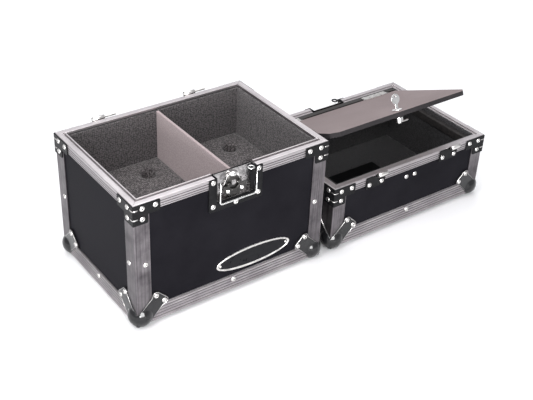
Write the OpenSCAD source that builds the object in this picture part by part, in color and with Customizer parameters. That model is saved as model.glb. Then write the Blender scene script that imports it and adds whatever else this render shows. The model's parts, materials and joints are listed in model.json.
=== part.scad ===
// Flight case for hand microphones, open, with its lift-off lid standing upside down beside it.
// Millimetres. Z is up and 0 is the ground under the ball corners. X runs along the case's latch
// side from left to right, Y from the latch side to the hinge side. The case stands at -X, the lid
// at +X, and the origin is the middle of the ground that the two cover.

/* [Case and lid] */
// Width over the edge metal
body_w = 380; // [350:5:440]
// Depth over the edge metal
body_d = 268; // [256:2:330]
// Height of the case from its base metal to its rim
case_h = 239; // [215:1:290]
// Height of the lid from its base metal to its rim
lid_h = 130; // [120:1:170]
// Gap between the case and the lid where they stand
stand_gap = 26; // [24:1:60]

/* [Walls] */
// Thickness of the laminated plywood
ply_t = 9; // [7:0.5:10]
// Thickness of the foam lining on the walls
liner_t = 7; // [6:0.5:9]
// Distance from the rim down to the top of the lining
liner_drop = 3; // [1:0.5:6]
// Thickness of the padded divider
divider_t = 5.5; // [4:0.5:8]
// Thickness of the lid's floor lining
floor_liner_t = 3; // [2:0.5:4]

/* [Microphone foam] */
// Height of the foam, base sheet and drilled block together
foam_h = 131; // [115:1:145]
// Radius of a microphone socket
socket_r = 14.75; // [11:0.25:18]
// Depth of a microphone socket
socket_depth = 120; // [90:1:126]
// Distance between the two columns of sockets in a compartment
column_pitch = 82; // [72:1:90]
// Distance between neighbouring rows of sockets
row_pitch = 72; // [64:1:76]
// Number of rows of sockets
socket_rows = 3; // [2:1:3]

/* [Edge metal] */
// Thickness of the edge extrusions
metal_t = 2; // [1.5:0.1:2.5]
// Leg of the upright corner angles
corner_leg = 28.5; // [25:0.5:31]
// Radius of the upright corner angles' outer edge
corner_r = 1.8; // [0.8:0.1:2.4]
// Leg of the base edge angles
base_leg = 31; // [27:0.5:33]
// Width of the rim extrusion seen from above
rim_w = 14.5; // [13:0.5:15.5]
// Height of the rim extrusion's outer band
rim_band = 18; // [15:0.5:20]
// Thickness of the rim extrusion over the plywood
rim_top_t = 3.5; // [3:0.1:4.5]
// Height of the case's tongue above its rim, and depth of the lid's step
tongue_h = 2; // [1:0.1:2.4]

/* [Corner braces] */
// Length of a brace along the rim
brace_run = 48; // [42:1:56]
// Height of a brace's rim arm
brace_arm = 22; // [19:0.5:26]
// Length of a brace down the corner
brace_drop = 38; // [32:1:44]
// Width of a brace's upright arm
brace_leg = 26; // [22:0.5:28]
// Thickness of the brace and ear steel
brace_t = 1.5; // [1:0.1:2]

/* [Ball corners] */
// Radius of the ball
ball_r = 21.5; // [18:0.5:24]
// How far the ball stands out of the three faces
ball_out = 8.3; // [6:0.1:9]
// Depth of the flat worn on the underside of each ball
foot_flat = 0.3; // [0.2:0.05:0.6]
// Width of an ear's waist
ear_w = 31; // [26:1:34]
// Distance from the corner to an ear's rivets, along the ear
ear_reach = 62; // [56:1:66]
// Distance between an ear's two rivets
ear_pitch = 21; // [18:0.5:24]
// Radius of an ear's lobe round each rivet
ear_lobe_r = 8; // [7:0.5:9]

/* [Rivets] */
// Radius of a rivet head
rivet_r = 4.6; // [3.6:0.1:5]
// Height of a rivet head
rivet_h = 1.9; // [1.4:0.1:2.4]
// Radius of a rivet shank
shank_r = 1.6; // [1.2:0.1:2]
// Radial clearance of a shank in its hole
shank_gap = 0.1; // [0.05:0.01:0.2]

/* [Latch] */
// Width of the latch flange
flange_w = 105; // [98:1:112]
// Height of the latch flange
flange_h = 63; // [60:1:70]
// Thickness of the flange and dish steel
flange_t = 1.4; // [1:0.1:1.8]
// Width of the dish opening
dish_w = 74; // [70:1:78]
// Height of the dish opening
dish_h = 49; // [48:0.5:50]
// Depth of the dish
dish_depth = 13; // [12:0.5:14]
// Width of the gap cut in the rim for the latch
rim_gap = 82; // [78:1:86]
// Depth of the rotor's centre below the rim
hub_drop = 23.5; // [23:0.5:25]
// Travel of the hook
hook_travel = 12; // [9:0.5:12.5]
// Thickness of the butterfly wing
wing_t = 2; // [1.6:0.1:2.4]
// Radius of the padlock hole
eye_r = 3.4; // [3:0.1:4]
// Width of the ring round the padlock hole
eye_band = 3.2; // [2.4:0.1:4]

/* [Lift-off hinges] */
// Distance of each hinge's middle from the end of its side
hinge_in = 97; // [85:1:106]
// Width of a hinge leaf
hinge_w = 46; // [40:1:54]
// Height of a hinge leaf
hinge_h = 25; // [23:0.5:29]
// Outer radius of a hinge barrel
barrel_r = 4; // [3.4:0.1:4.4]
// Radius of a hinge pin
hinge_pin_r = 2; // [1.6:0.1:2.3]

/* [Name plate] */
// Length of the oval plate
plate_w = 154; // [120:1:160]
// Height of the oval plate
plate_h = 40; // [30:1:46]
// Thickness of the oval plate
plate_t = 1.5; // [1:0.1:2]
// Width of the plate's raised border
plate_border = 3.2; // [2:0.1:5]
// Distance of the plate's centre from the right end of the side
plate_in = 148; // [144:1:170]
// Height of the plate's centre
plate_z = 57; // [54:1:90]

/* [Inner cover] */
// Gap between the cover board and the lining at each end
cover_gap = 4; // [3:0.5:10]
// Gap between the cover board and the lining in front
cover_front_gap = 5; // [4:0.5:12]
// Thickness of the cover board
cover_t = 9; // [7:0.5:10]
// Angle at which the cover stands open
cover_tilt = 24.3; // [5:0.1:60]
// Cut across each front corner of the cover
cover_cut = 13; // [8:1:30]
// Length of one cover hinge
butt_w = 62; // [50:1:80]
// Distance of each cover hinge's middle from the end of the board
butt_in = 54; // [44:1:68]
// Outer radius of the cover hinge's knuckles
knuckle_r = 2.2; // [1.8:0.1:2.4]
// Radius of the cover hinge's pin
butt_pin_r = 1; // [0.8:0.05:1.2]

/* [Cam lock] */
// Radius of the lock's collar
collar_r = 9.5; // [8.5:0.1:10]
// Radius of the lock's threaded body
lock_r = 8; // [7:0.1:8.2]
// Length of the lock's body under its collar
lock_l = 23; // [21:0.5:26]
// Radius of the turning plug
plug_r = 5.5; // [4.5:0.1:6]
// Distance of the lock from the cover's front edge
lock_in = 18; // [16:1:24]
// Length of the cam from the lock's centre
cam_l = 21; // [17:0.5:21.5]
// Radius of the key's round bow
bow_r = 10; // [8:0.5:12]

/* [Carrying handle] */
// Width of the handle flange
grip_flange_w = 150; // [140:1:170]
// Depth of the handle flange
grip_flange_d = 100; // [96:1:120]
// Width of the handle dish
pan_w = 118; // [108:1:124]
// Depth of the handle dish, front to back
pan_d = 74; // [70:1:84]
// How deep the handle dish is
pan_h = 17; // [16:0.5:20]
// Radius of the steel bail
bail_r = 3.2; // [2.6:0.1:3.6]
// Distance from the bail's pivot to the grip
bail_l = 44; // [40:1:46]
// Radius of the rubber grip
grip_r = 7; // [5.5:0.1:7.5]

/* [Hidden] */
$fn = 48;

// Overrun of every cut past the face that it opens
over = 1;
// Gap left between pieces that move past each other
air = 0.3;
// Radial clearance of a pin in its own bore
run = 0.06;
// What each mitred end is cut short by, so that two of them leave a hairline
seam = 0.05;
// Depth and width of a groove between two ridges of an extrusion
groove_depth = 0.7;
groove_w = 2.2;

// Half of the stand's pitch: the case lies this far to the left and the lid to the right
stand_x = (body_w + stand_gap) / 2;
// Height of the base metal above the ground
ground = ball_out - foot_flat;
// Depth of the wall's inner face, of the lining's inner face and of the floor panel's top
wall_in = metal_t + ply_t;
line_in = wall_in + liner_t;
floor_z = metal_t + ply_t;
// Inside half width and half depth between the linings
room_x = body_w / 2 - line_in;
room_y = body_d / 2 - line_in;
// Inner leg of the rim extrusion
rim_leg_t = 1.5;
rim_leg_h = 8;
// Groove in the rim's top
rim_groove_w = 2.5;
rim_tongue_w = 2.5;
rim_groove_depth = 2.2;

function side_len(i) = i % 2 == 0 ? body_w : body_d;

// Side i of a box: 0 front, 1 right, 2 back, 3 left. Drawn along X, outer face at Y 0, inside +Y
module on_side(i) {
    rotate(i * 90) translate([0, -side_len(i + 1) / 2, 0]) children();
}

// Corner i of a box, with its upright edge at the origin and the box in +X +Y
module on_corner(i) {
    rotate(i * 90) translate([-side_len(i) / 2, -side_len(i + 1) / 2, 0]) children();
}

module on_case() {
    translate([-stand_x, 0, ground]) children();
}

module on_lid() {
    translate([stand_x, 0, ground]) children();
}

// A box from one corner to the opposite one
module block(low, high) {
    translate(low) cube(high - low);
}

// A piece and its twin across the corner's diagonal
module both_faces() {
    children();
    mirror([1, -1, 0]) children();
}

// Turns a flat outline so that it lies in a side face, with its thickness going inwards
module upright(thick) {
    rotate([90, 0, 0]) translate([0, 0, -thick]) linear_extrude(thick) children();
}

module round_rect(w, h, r) {
    translate([r, 0]) square([w - 2 * r, h]);
    translate([0, r]) square([w, h - 2 * r]);
    for (x = [r, w - r], y = [r, h - r]) translate([x, y]) circle(r);
}

// Rivet with its head on the plane Z 0 and its shank below
module rivet(reach, r = rivet_r, h = rivet_h) {
    dome_r = (r * r + h * h) / (2 * h);
    rotate_extrude() {
        intersection() {
            translate([0, h - dome_r]) circle(dome_r);
            square([r, h]);
        }
        translate([0, -reach]) square([shank_r, reach + h / 2]);
    }
}

module rivet_hole(reach) {
    translate([0, 0, -reach - over]) cylinder(r = shank_r + shank_gap, h = reach + 2 * over);
}

// Stands what is drawn along +Z outwards from a side face, at x along it and z up it
module face_at(x, z, out = 0) {
    translate([x, -out, z]) rotate([90, 0, 0]) children();
}

// Box panels

module long_panel(h) {
    block([-body_w / 2 + metal_t, metal_t, floor_z], [body_w / 2 - metal_t, wall_in, h - rim_top_t]);
}

module short_panel(h) {
    half = body_d / 2 - wall_in;
    block([-half, metal_t, floor_z], [half, wall_in, h - rim_top_t]);
}

module floor_panel() {
    x = body_w / 2 - metal_t;
    y = body_d / 2 - metal_t;
    block([-x, -y, metal_t], [x, y, floor_z]);
}

// Room for a latch dish in a wall, drawn as on side 0
module dish_room(h) {
    half = dish_w / 2 + flange_t;
    block([-half, -over, h - dish_h - flange_t], [half, dish_depth + flange_t, h + over]);
}

// Edge metal

module corner_angle(h) {
    translate([0, 0, metal_t]) linear_extrude(h - rim_band - metal_t) difference() {
        square(corner_leg);
        translate([metal_t, metal_t]) square(corner_leg);
        difference() {
            translate([-over, -over]) square(corner_r + over);
            translate([corner_r, corner_r]) circle(corner_r);
        }
    }
}

// Heights of the corner angle's rivet: once, halfway up a wall that leaves room for it
corner_rivet_x = 19.4;
function corner_rivets(h) = h > 2 * brace_drop + 2 * ear_reach ? [(h + metal_t) / 2] : [];

module corner_angles(h) {
    for (i = [0:3]) on_corner(i) difference() {
        corner_angle(h);
        for (z = corner_rivets(h)) both_faces() face_at(corner_rivet_x, z) rivet_hole(metal_t);
    }
}

// Room between two mitre planes, drawn along a side, from height low to height high
module mitred(len, deep, low, high) {
    half = len / 2 - seam;
    translate([0, 0, low]) linear_extrude(high - low) polygon([[-half - over, -over],
        [half + over, -over], [half - deep - over, deep + over], [deep + over - half, deep + over]]);
}

// Number of ridges on a base angle's leg
base_ridges = 5;
base_pitch = (base_leg - groove_w) / base_ridges;

module base_angle(len) {
    half = len / 2;
    run_x = half - corner_leg;
    difference() {
        union() {
            block([-run_x, 0, 0], [run_x, metal_t, base_leg]);
            intersection() {
                block([-half, 0, 0], [half, base_leg, metal_t]);
                mitred(len, base_leg, -over, metal_t + over);
            }
        }
        for (k = [1:base_ridges]) {
            at = k * base_pitch - groove_w / 2;
            block([-half, -over, at], [half, groove_depth, at + groove_w]);
            block([-half, at, -over], [half, at + groove_w, groove_depth]);
        }
        face_at(0, base_rivet_z) rivet_hole(metal_t);
    }
}

// Height of the base angle's rivet, in the middle of a ridge
base_rivet_z = base_pitch * (3 + 1 / 2);

module base_angles() {
    for (i = [0:3]) on_side(i) base_angle(side_len(i));
}

// Outline of the rim extrusion: inwards from the outer face, and down from the rim
module rim_outline(step) {
    groove_at = rim_w - rim_tongue_w - rim_groove_w;
    difference() {
        union() {
            translate([0, -rim_band]) square([metal_t, rim_band]);
            translate([0, -rim_top_t]) square([rim_w - rim_tongue_w, rim_top_t]);
            translate([rim_w - rim_tongue_w, -rim_top_t]) square([rim_tongue_w, rim_top_t + step]);
            translate([wall_in, -rim_leg_h]) square([rim_leg_t, rim_leg_h - rim_top_t + groove_depth]);
        }
        translate([groove_at, -rim_groove_depth]) square([rim_groove_w, rim_groove_depth + over]);
        for (k = [1:3]) translate([-over, -rim_top_t - k * rim_pitch])
            square([over + groove_depth, groove_w]);
        rotate(45) translate([-metal_t, -over / 2]) square([2 * metal_t, over + metal_t]);
    }
}

rim_pitch = (rim_band - rim_top_t - groove_w / 2) / 3;

module rim_bar(len, h, step) {
    intersection() {
        translate([-len / 2, 0, h]) rotate([90, 0, 90]) linear_extrude(len) rim_outline(step);
        mitred(len, rim_w, h - rim_band - over, h + tongue_h + over);
    }
}

// Rim with a gap for the latch on side gap_side
module rim(h, step, gap_side) {
    half = rim_gap / 2;
    for (i = [0:3]) on_side(i) difference() {
        rim_bar(side_len(i), h, step);
        if (i == gap_side)
            block([-half, -over, h - rim_band - over], [half, rim_w + over, h + 2 * tongue_h]);
    }
}

// Corner braces: three rivets on each face, given along the rim and down from it
brace_rivet_x = 15.5;
brace_rivet_z = 9;
brace_rivet_far = 39;
brace_rivet_low = 28.5;
brace_round = 2.5;
brace_lip = 1;
brace_rivets = [[brace_rivet_x, brace_rivet_z], [brace_rivet_far, brace_rivet_z],
    [brace_rivet_x, brace_rivet_low]];

module brace_face(h) {
    difference() {
        translate([0, -brace_t, 0]) upright(brace_t) {
            translate([-brace_t, h - brace_arm])
                round_rect(brace_run + brace_t, brace_arm - brace_lip, brace_round);
            translate([-brace_t, h - brace_drop])
                round_rect(brace_leg + brace_t, brace_drop - brace_lip, brace_round);
            translate([-brace_t, h - brace_drop]) square([2 * brace_round, brace_drop - brace_lip]);
        }
        for (p = brace_rivets) face_at(p[0], h - p[1], brace_t) rivet_hole(brace_t);
    }
}

module corner_braces(h) {
    for (i = [0:3]) on_corner(i) both_faces() brace_face(h);
}

// Ball corners

ear_rivets = [for (s = [-1, 1])
    [(ear_reach - s * ear_pitch / 2) * cos(45), (ear_reach + s * ear_pitch / 2) * sin(45)]];

module ear_outline() {
    rotate(45) {
        translate([0, -ear_w / 2]) square([ear_reach, ear_w]);
        translate([ear_reach - ear_lobe_r, -ear_pitch / 2]) square([2 * ear_lobe_r, ear_pitch]);
        for (s = [-1, 1]) translate([ear_reach, s * ear_pitch / 2]) circle(ear_lobe_r);
    }
}

// Ear on one face: a plate over the edge metal that steps down to the plywood beyond it
module ear(leg) {
    reach = brace_t + metal_t;
    difference() {
        translate([0, -brace_t, 0]) upright(reach) intersection() {
            ear_outline();
            translate([-brace_t, -brace_t]) square(2 * ear_reach);
        }
        block([-over - brace_t, 0, -over - brace_t], [leg, over + metal_t, 2 * ear_reach]);
        block([-over - brace_t, 0, -over - brace_t], [2 * ear_reach, over + metal_t, base_leg]);
        for (p = ear_rivets) face_at(p[0], p[1], brace_t) rivet_hole(reach);
    }
}

module ball_corner() {
    in = ball_r - ball_out;
    both_faces() ear(corner_leg);
    mirror([0, 1, -1]) ear(base_leg);
    difference() {
        translate([in, in, in]) sphere(ball_r);
        cube(2 * ball_r);
        block([-ball_r, -ball_r, -ball_r], [2 * ball_r, 2 * ball_r, -ground]);
    }
}

module ball_corners() {
    for (i = [0:3]) on_corner(i) ball_corner();
}

// Rivets of a box: braces, ball corners, corner angles and base angles
module box_rivets(h) {
    for (i = [0:3]) {
        on_corner(i) {
            both_faces() {
                for (p = brace_rivets) face_at(p[0], h - p[1], brace_t) rivet(brace_t);
                for (p = ear_rivets) face_at(p[0], p[1], brace_t) rivet(brace_t + metal_t);
                for (z = corner_rivets(h)) face_at(corner_rivet_x, z) rivet(metal_t);
            }
            for (p = ear_rivets) mirror([0, 1, -1]) face_at(p[0], p[1], brace_t) rivet(brace_t + metal_t);
        }
        on_side(i) face_at(0, base_rivet_z) rivet(metal_t);
    }
}

// Linings

// Room under the rim extrusion inside the plywood, along a side
module rim_room(half, h) {
    block([-half, 0, h - rim_leg_h], [half, wall_in + rim_leg_t, h + over]);
    block([-half, 0, h - rim_top_t], [half, rim_w, h + over]);
}

// Lining of side i from the floor panel up to height top
module lining(i, h, top) {
    half = i % 2 == 0 ? body_w / 2 - wall_in : body_d / 2 - line_in - seam;
    difference() {
        on_side(i) block([-half, wall_in, floor_z], [half, line_in, top]);
        for (k = [0:3]) on_side(k) rim_room(side_len(k) / 2, h);
    }
}

// Microphone foam

socket_x0 = (room_x + divider_t / 2) / 2;
socket_ys = [for (k = [0:socket_rows - 1]) (k - (socket_rows - 1) / 2) * row_pitch];
socket_foot = floor_z + foam_h - socket_depth;

// Block drilled right through, which stands on a plain sheet
module foam_block() {
    difference() {
        block([divider_t / 2, -room_y, socket_foot], [room_x, room_y, floor_z + foam_h]);
        for (s = [-1, 1], y = socket_ys)
            translate([socket_x0 + s * column_pitch / 2, y, socket_foot - over])
                cylinder(r = socket_r, h = socket_depth + 2 * over);
    }
}

module foam_sheet() {
    block([divider_t / 2, -room_y, floor_z], [room_x, room_y, socket_foot]);
}

// Latch. Drawn as on side 0 with Z 0 at the rim, Y going into the wall

dish_back = dish_depth + flange_t;
flange_rivet_x = 44.5;
flange_rivet_top = 7;
flange_rivet_low = 53;
flange_rivet_mid = 57;
flange_rivets = [[-flange_rivet_x, flange_rivet_top], [flange_rivet_x, flange_rivet_top],
    [-flange_rivet_x, flange_rivet_low], [flange_rivet_x, flange_rivet_low], [0, flange_rivet_mid]];
flange_round = 3;
// Place of the padlock eye
eye_x = 28;
eye_out = 1.5;
eye_t = 2;

module dish() {
    half = dish_w / 2;
    difference() {
        union() {
            translate([-flange_w / 2, -flange_t, -flange_h]) upright(flange_t + metal_t)
                round_rect(flange_w, flange_h, flange_round);
            block([-half - flange_t, -flange_t, -dish_h - flange_t], [half + flange_t, dish_back, 0]);
        }
        block([-half, -over - flange_t, -dish_h], [half, dish_depth, over]);
        for (s = [0, 1]) mirror([s, 0, 0]) {
            block([rim_gap / 2, 0, -rim_band], [flange_w, over + metal_t, over]);
        }
        for (p = flange_rivets) face_at(p[0], -p[1], flange_t) rivet_hole(flange_t + metal_t);
    }
}

// Flat ring for a padlock, level with the rim and joined to the dish wall
module padlock_eye() {
    band = eye_r + eye_band;
    translate([0, 0, -eye_t]) linear_extrude(eye_t) difference() {
        union() {
            translate([eye_x, -eye_out]) circle(band);
            translate([eye_x, -eye_out]) square([dish_w / 2 - eye_x + flange_t / 2, band]);
        }
        translate([eye_x, -eye_out]) circle(eye_r);
    }
}

module dish_rivets() {
    for (p = flange_rivets) face_at(p[0], -p[1], flange_t)
        rivet(p[1] > rim_band ? flange_t + metal_t : flange_t);
}

// Layers of the latch, as depths from the outer face
base_t = 1.2;
hook_t = 1.8;
hook_y = dish_depth - base_t - air - hook_t;
rotor_t = 2;
rotor_y = hook_y - air - rotor_t;
wing_pin_r = 1.2;
wing_knuckle_r = 2.5;
wing_y = rotor_y - air - wing_knuckle_r;
rotor_r = 13;
post_r = 3.2;
shaft_r = 5;
throw_r = hook_travel / 2;
throw_pin_r = 2;
// Furthest that a steady slide strays from the circling pin's height
stray_share = 0.211;

module base_plate() {
    half = dish_w / 2 - air;
    block([-half, dish_depth - base_t, -dish_h + air], [half, dish_depth, -over]);
    block([-half, groove_w, -dish_h + air], [half, dish_depth, -dish_h + air + base_t]);
    translate([0, dish_depth, -hub_drop]) rotate([90, 0, 0])
        cylinder(r = post_r, h = dish_depth - rotor_y + base_t);
    translate([0, rotor_y, -hub_drop]) rotate([90, 0, 0]) cylinder(r = shaft_r, h = base_t);
}

// Half width of the hook at its foot and radius of its head
hook_half = 19;
hook_head_r = 13;
hook_foot = 12;
hook_head_z = 6;

module hook_outline() {
    difference() {
        union() {
            translate([0, hook_head_z]) circle(hook_head_r);
            polygon([[-hook_half, -hook_foot], [hook_half, -hook_foot], [hook_half, -hook_foot / 2],
                [hook_head_r, hook_head_z], [-hook_head_r, hook_head_z], [-hook_half, -hook_foot / 2]]);
        }
        shaft_slot();
        window_h = throw_pin_r + stray_share * throw_r + air;
        window_w = throw_r + throw_pin_r + air;
        translate([-window_w, -throw_r - window_h]) square([2 * window_w, 2 * window_h]);
    }
}

// Slot that lets the hook slide past the shaft
module shaft_slot() {
    r = shaft_r + air;
    circle(r);
    translate([-r, -hook_travel]) square([2 * r, hook_travel]);
    translate([-r, -hook_travel - hook_foot]) square([2 * r, hook_foot + hook_travel]);
}

// Nose of the hook that bears on the keeper, bent outwards at its top
nose_half = 9;
nose_out = 3.7;

module hook() {
    translate([0, hook_y, -hub_drop]) {
        upright(hook_t) hook_outline();
        top = hook_head_z + hook_head_r - hook_t;
        block([-nose_half, -nose_out, top - hook_t], [nose_half, hook_t, top]);
    }
}

lug_in = 6;
lug_w = 2.2;

module rotor() {
    translate([0, 0, -hub_drop]) difference() {
        union() {
            translate([0, rotor_y + rotor_t, 0]) rotate([90, 0, 0]) cylinder(r = rotor_r, h = rotor_t);
            translate([0, rotor_y + rotor_t + hook_t + air / 2, 0]) rotate([90, 0, 0])
                cylinder(r = shaft_r, h = rotor_t + hook_t);
            translate([0, rotor_y + rotor_t + hook_t, -throw_r]) rotate([90, 0, 0])
                cylinder(r = throw_pin_r, h = rotor_t + hook_t);
            for (s = [0, 1]) mirror([s, 0, 0])
                block([lug_in, wing_y - wing_pin_r - base_t, -wing_knuckle_r],
                    [lug_in + lug_w, rotor_y + rotor_t / 2, wing_knuckle_r]);
        }
        translate([0, dish_depth, 0]) rotate([90, 0, 0]) cylinder(r = post_r + run, h = dish_depth + over);
        translate([-rotor_r - over, wing_y, 0]) rotate([0, 90, 0])
            cylinder(r = wing_pin_r, h = 2 * rotor_r + 2 * over);
    }
}

module wing_pins() {
    for (s = [0, 1]) mirror([s, 0, 0]) translate([lug_in, wing_y, -hub_drop]) rotate([0, 90, 0])
        cylinder(r = wing_pin_r, h = lug_w + air + wing_knuckle_w);
}

wing_knuckle_w = 4;
// Radius that the wing may sweep inside the dish
wing_r = dish_h - hub_drop - base_t - 2 * air;
dimple_r = 3;
dimple_x = 13.5;
dimple_z = 12;

// Two lobes below the pins, joined under the hub, within the circle that the dish leaves
module wing_outline() {
    waist = lug_in + lug_w + air;
    difference() {
        circle(wing_r);
        translate([-wing_r - over, -wing_knuckle_r]) square([2 * wing_r + 2 * over, 2 * wing_r]);
        circle(rotor_r - lug_w);
        translate([-waist, -wing_knuckle_r - lug_w]) square([2 * waist, 2 * lug_w + wing_knuckle_r]);
        for (s = [-1, 1]) translate([s * dimple_x, -dimple_z]) circle(dimple_r);
    }
}

module wing() {
    waist = lug_in + lug_w + air;
    translate([0, 0, -hub_drop]) {
        translate([0, wing_y - wing_t / 2, 0]) upright(wing_t) wing_outline();
        for (s = [0, 1]) mirror([s, 0, 0]) difference() {
            union() {
                translate([waist, wing_y, 0]) rotate([0, 90, 0])
                    cylinder(r = wing_knuckle_r, h = wing_knuckle_w);
                block([waist, wing_y - wing_t / 2, -wing_knuckle_r - lug_w],
                    [waist + wing_knuckle_w, wing_y + wing_t / 2, 0]);
            }
            translate([0, wing_y, 0]) rotate([0, 90, 0]) cylinder(r = wing_pin_r + run, h = wing_r);
        }
    }
}

// Bar in the lid's dish that the hook pulls against
keeper_slot_w = 24;
keeper_slot_h = 8;
keeper_h = 30;

module keeper() {
    half = dish_w / 2 - air;
    difference() {
        block([-half, dish_depth - base_t, -keeper_h], [half, dish_depth, -over]);
        translate([-keeper_slot_w / 2, 0, -keeper_slot_h * 3 / 2])
            cube([keeper_slot_w, dish_depth + over, keeper_slot_h]);
    }
    translate([-half, hook_y - hook_t, -keeper_slot_h / 2])
        cube([2 * half, dish_depth - hook_y + hook_t, base_t]);
}

// Lift-off hinges. Drawn as on a side, with Z 0 at the rim

hinge_t = 1.6;
hinge_top = 1.2;
hinge_rivet_x = 15;
hinge_rivet_z = 17.5;
hinge_rivets = [[-hinge_rivet_x, hinge_rivet_z], [hinge_rivet_x, hinge_rivet_z]];
barrel_out = hinge_t + barrel_r;
half_barrel = hinge_w / 2 - air;
hinge_x = body_w / 2 - hinge_in;

// Leaf with a barrel along its right half
module hinge_leaf() {
    difference() {
        union() {
            translate([-hinge_w / 2, -hinge_t, -hinge_h]) upright(hinge_t)
                round_rect(hinge_w, hinge_h - hinge_top, flange_round);
            block([-hinge_w / 2, -hinge_t, -hinge_h], [hinge_w / 2, metal_t, -rim_band]);
            translate([air, -barrel_out, 0]) rotate([0, 90, 0]) cylinder(r = barrel_r, h = half_barrel);
            block([air, -hinge_t, -hinge_h / 2], [hinge_w / 2, 0, -hinge_top]);
            block([air, -barrel_out - hinge_t / 2, -barrel_r], [hinge_w / 2, 0, -hinge_top - hinge_pin_r]);
        }
        for (p = hinge_rivets) face_at(p[0], -p[1], hinge_t) rivet_hole(hinge_t + metal_t);
        translate([air - over, -barrel_out, 0]) rotate([0, 90, 0])
            cylinder(r = hinge_pin_r + run, h = half_barrel + 2 * over);
    }
}

module hinge_pin() {
    translate([-hinge_w / 2, -barrel_out, 0]) rotate([0, 90, 0])
        cylinder(r = hinge_pin_r, h = hinge_w - over);
}

// Both hinges of a box side at its rim
module at_hinges(i, h) {
    on_side(i) for (s = [-1, 1]) translate([s * hinge_x, 0, h]) children();
}

// Name plate

plate_points = 72;
plate_x = body_w / 2 - plate_in;

module oval(w, h) {
    polygon([for (k = [0:plate_points - 1])
        let (a = 360 * k / plate_points) [w / 2 * cos(a), h / 2 * sin(a)]]);
}

plate_rivet_r = 2.2;
plate_rivet_h = 1;
plate_rivet_in = 8;
plate_rise = 0.5;

module plate() {
    difference() {
        translate([plate_x, metal_t, plate_z]) rotate([90, 0, 0]) {
            linear_extrude(plate_t) oval(plate_w, plate_h);
            linear_extrude(plate_t + plate_rise) difference() {
                oval(plate_w, plate_h);
                oval(plate_w - 2 * plate_border, plate_h - 2 * plate_border);
            }
        }
        for (s = [-1, 1]) face_at(plate_x + s * (plate_w / 2 - plate_rivet_in), plate_z, plate_t)
            rivet_hole(plate_t + metal_t);
    }
}

// Lid fittings

rail_w = 14.5;
rail_h = 22;
// Distance from the rim down to the rail's top
rail_drop = 2;
rail_face = body_d / 2 - wall_in - rail_w;
cover_hinge_y = rail_face - knuckle_r - air;
cover_hinge_z = lid_h - rail_drop;

module rail() {
    difference() {
        block([-room_x, wall_in, cover_hinge_z - rail_h], [room_x, wall_in + rail_w, cover_hinge_z]);
        rim_room(room_x + over, lid_h);
        dish_room(lid_h);
    }
}

cleat_w = 10;
cleat_h = 14;

module cleats() {
    top = cover_hinge_z - cover_t - air;
    for (s = [0, 1]) mirror([s, 0, 0])
        block([room_x - cleat_w, -room_y, top - cleat_h], [room_x, rail_face, top]);
}

// Cam lock: depth of the cam under the cover's top, and the bracket that it turns under
cam_t = 2;
cam_w = 12;
cam_z = lock_l;
bracket_w = 38;
bracket_t = 1.6;
bracket_lip = 13;
bracket_drop = 24;
bracket_rivet_x = 10.5;
strike_z = cover_hinge_z - cam_z + cam_t + air + bracket_t;
bracket_rivet_z = strike_z - bracket_drop / 2;

module bracket() {
    difference() {
        union() {
            translate([-bracket_w / 2, line_in, strike_z - bracket_drop])
                cube([bracket_w, bracket_t, bracket_drop]);
            translate([-bracket_w / 2, line_in, strike_z - bracket_t])
                cube([bracket_w, bracket_lip, bracket_t]);
        }
        for (s = [-1, 1]) face_at(s * bracket_rivet_x, bracket_rivet_z, -line_in) rivet_hole(bracket_t);
    }
}

// Cover. Drawn closed, with the hinge line at the origin and its top on Z 0

// Width of the board, its length from the hinge line, and the places of its hinges and its lock
cover_w = 2 * (room_x - cover_gap);
cover_l = cover_hinge_y + room_y - cover_front_gap;
butt_x = cover_w / 2 - butt_in;
lock_y = cover_l - lock_in;

module on_cover() {
    on_lid() translate([0, cover_hinge_y, cover_hinge_z]) rotate([-cover_tilt, 0, 0]) children();
}

cover_back = knuckle_r + air;

module board() {
    half = cover_w / 2;
    difference() {
        translate([0, 0, -cover_t]) linear_extrude(cover_t)
            polygon([[-half, -cover_back], [half, -cover_back], [half, cover_cut - cover_l],
                [half - cover_cut, -cover_l], [cover_cut - half, -cover_l], [-half, cover_cut - cover_l]]);
        translate([0, -lock_y, -cover_t - over]) cylinder(r = lock_r + run, h = cover_t + 2 * over);
    }
}

butt_knuckles = 5;
butt_leaf = 9;
butt_t = 1;
knuckle_l = butt_w / butt_knuckles;

// Hinge leaf with every other knuckle, the first one at number first
module butt_leaf_plate(first) {
    for (k = [first:2:butt_knuckles - 1]) difference() {
        at = k * knuckle_l - butt_w / 2 + air / 2;
        union() {
            translate([at, 0, 0]) rotate([0, 90, 0]) cylinder(r = knuckle_r, h = knuckle_l - air);
            block([at, -knuckle_r - butt_t, 0], [at + knuckle_l - air, 0, butt_t]);
        }
        translate([at - over, 0, 0]) rotate([0, 90, 0])
            cylinder(r = butt_pin_r + run, h = knuckle_l + 2 * over);
    }
    block([-butt_w / 2, -butt_leaf, 0], [butt_w / 2, -knuckle_r - air, butt_t]);
}

module butt_pin() {
    translate([-butt_w / 2, 0, 0]) rotate([0, 90, 0]) cylinder(r = butt_pin_r, h = butt_w);
}

collar_h = 2;
nut_h = 4;
nut_r = 11;

module lock_shell() {
    translate([0, -lock_y, 0]) difference() {
        union() {
            cylinder(r = collar_r, h = collar_h);
            translate([0, 0, -cam_z + cam_t + air])
                cylinder(r = lock_r, h = cam_z - cam_t - air + collar_h / 2);
        }
        translate([0, 0, -lock_l - over]) cylinder(r = plug_r + run, h = lock_l + collar_h + 2 * over);
    }
}

module nut() {
    translate([0, -lock_y, -cover_t - nut_h]) difference() {
        cylinder(r = nut_r, h = nut_h, $fn = 6);
        translate([0, 0, -over]) cylinder(r = lock_r + run, h = nut_h + 2 * over);
    }
}

key_t = 2;
key_w = 7;
bow_hole_r = 2;
key_slot = 15;
// Height of the bow's centre above the lock's collar
bow_up = 19.5;

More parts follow.
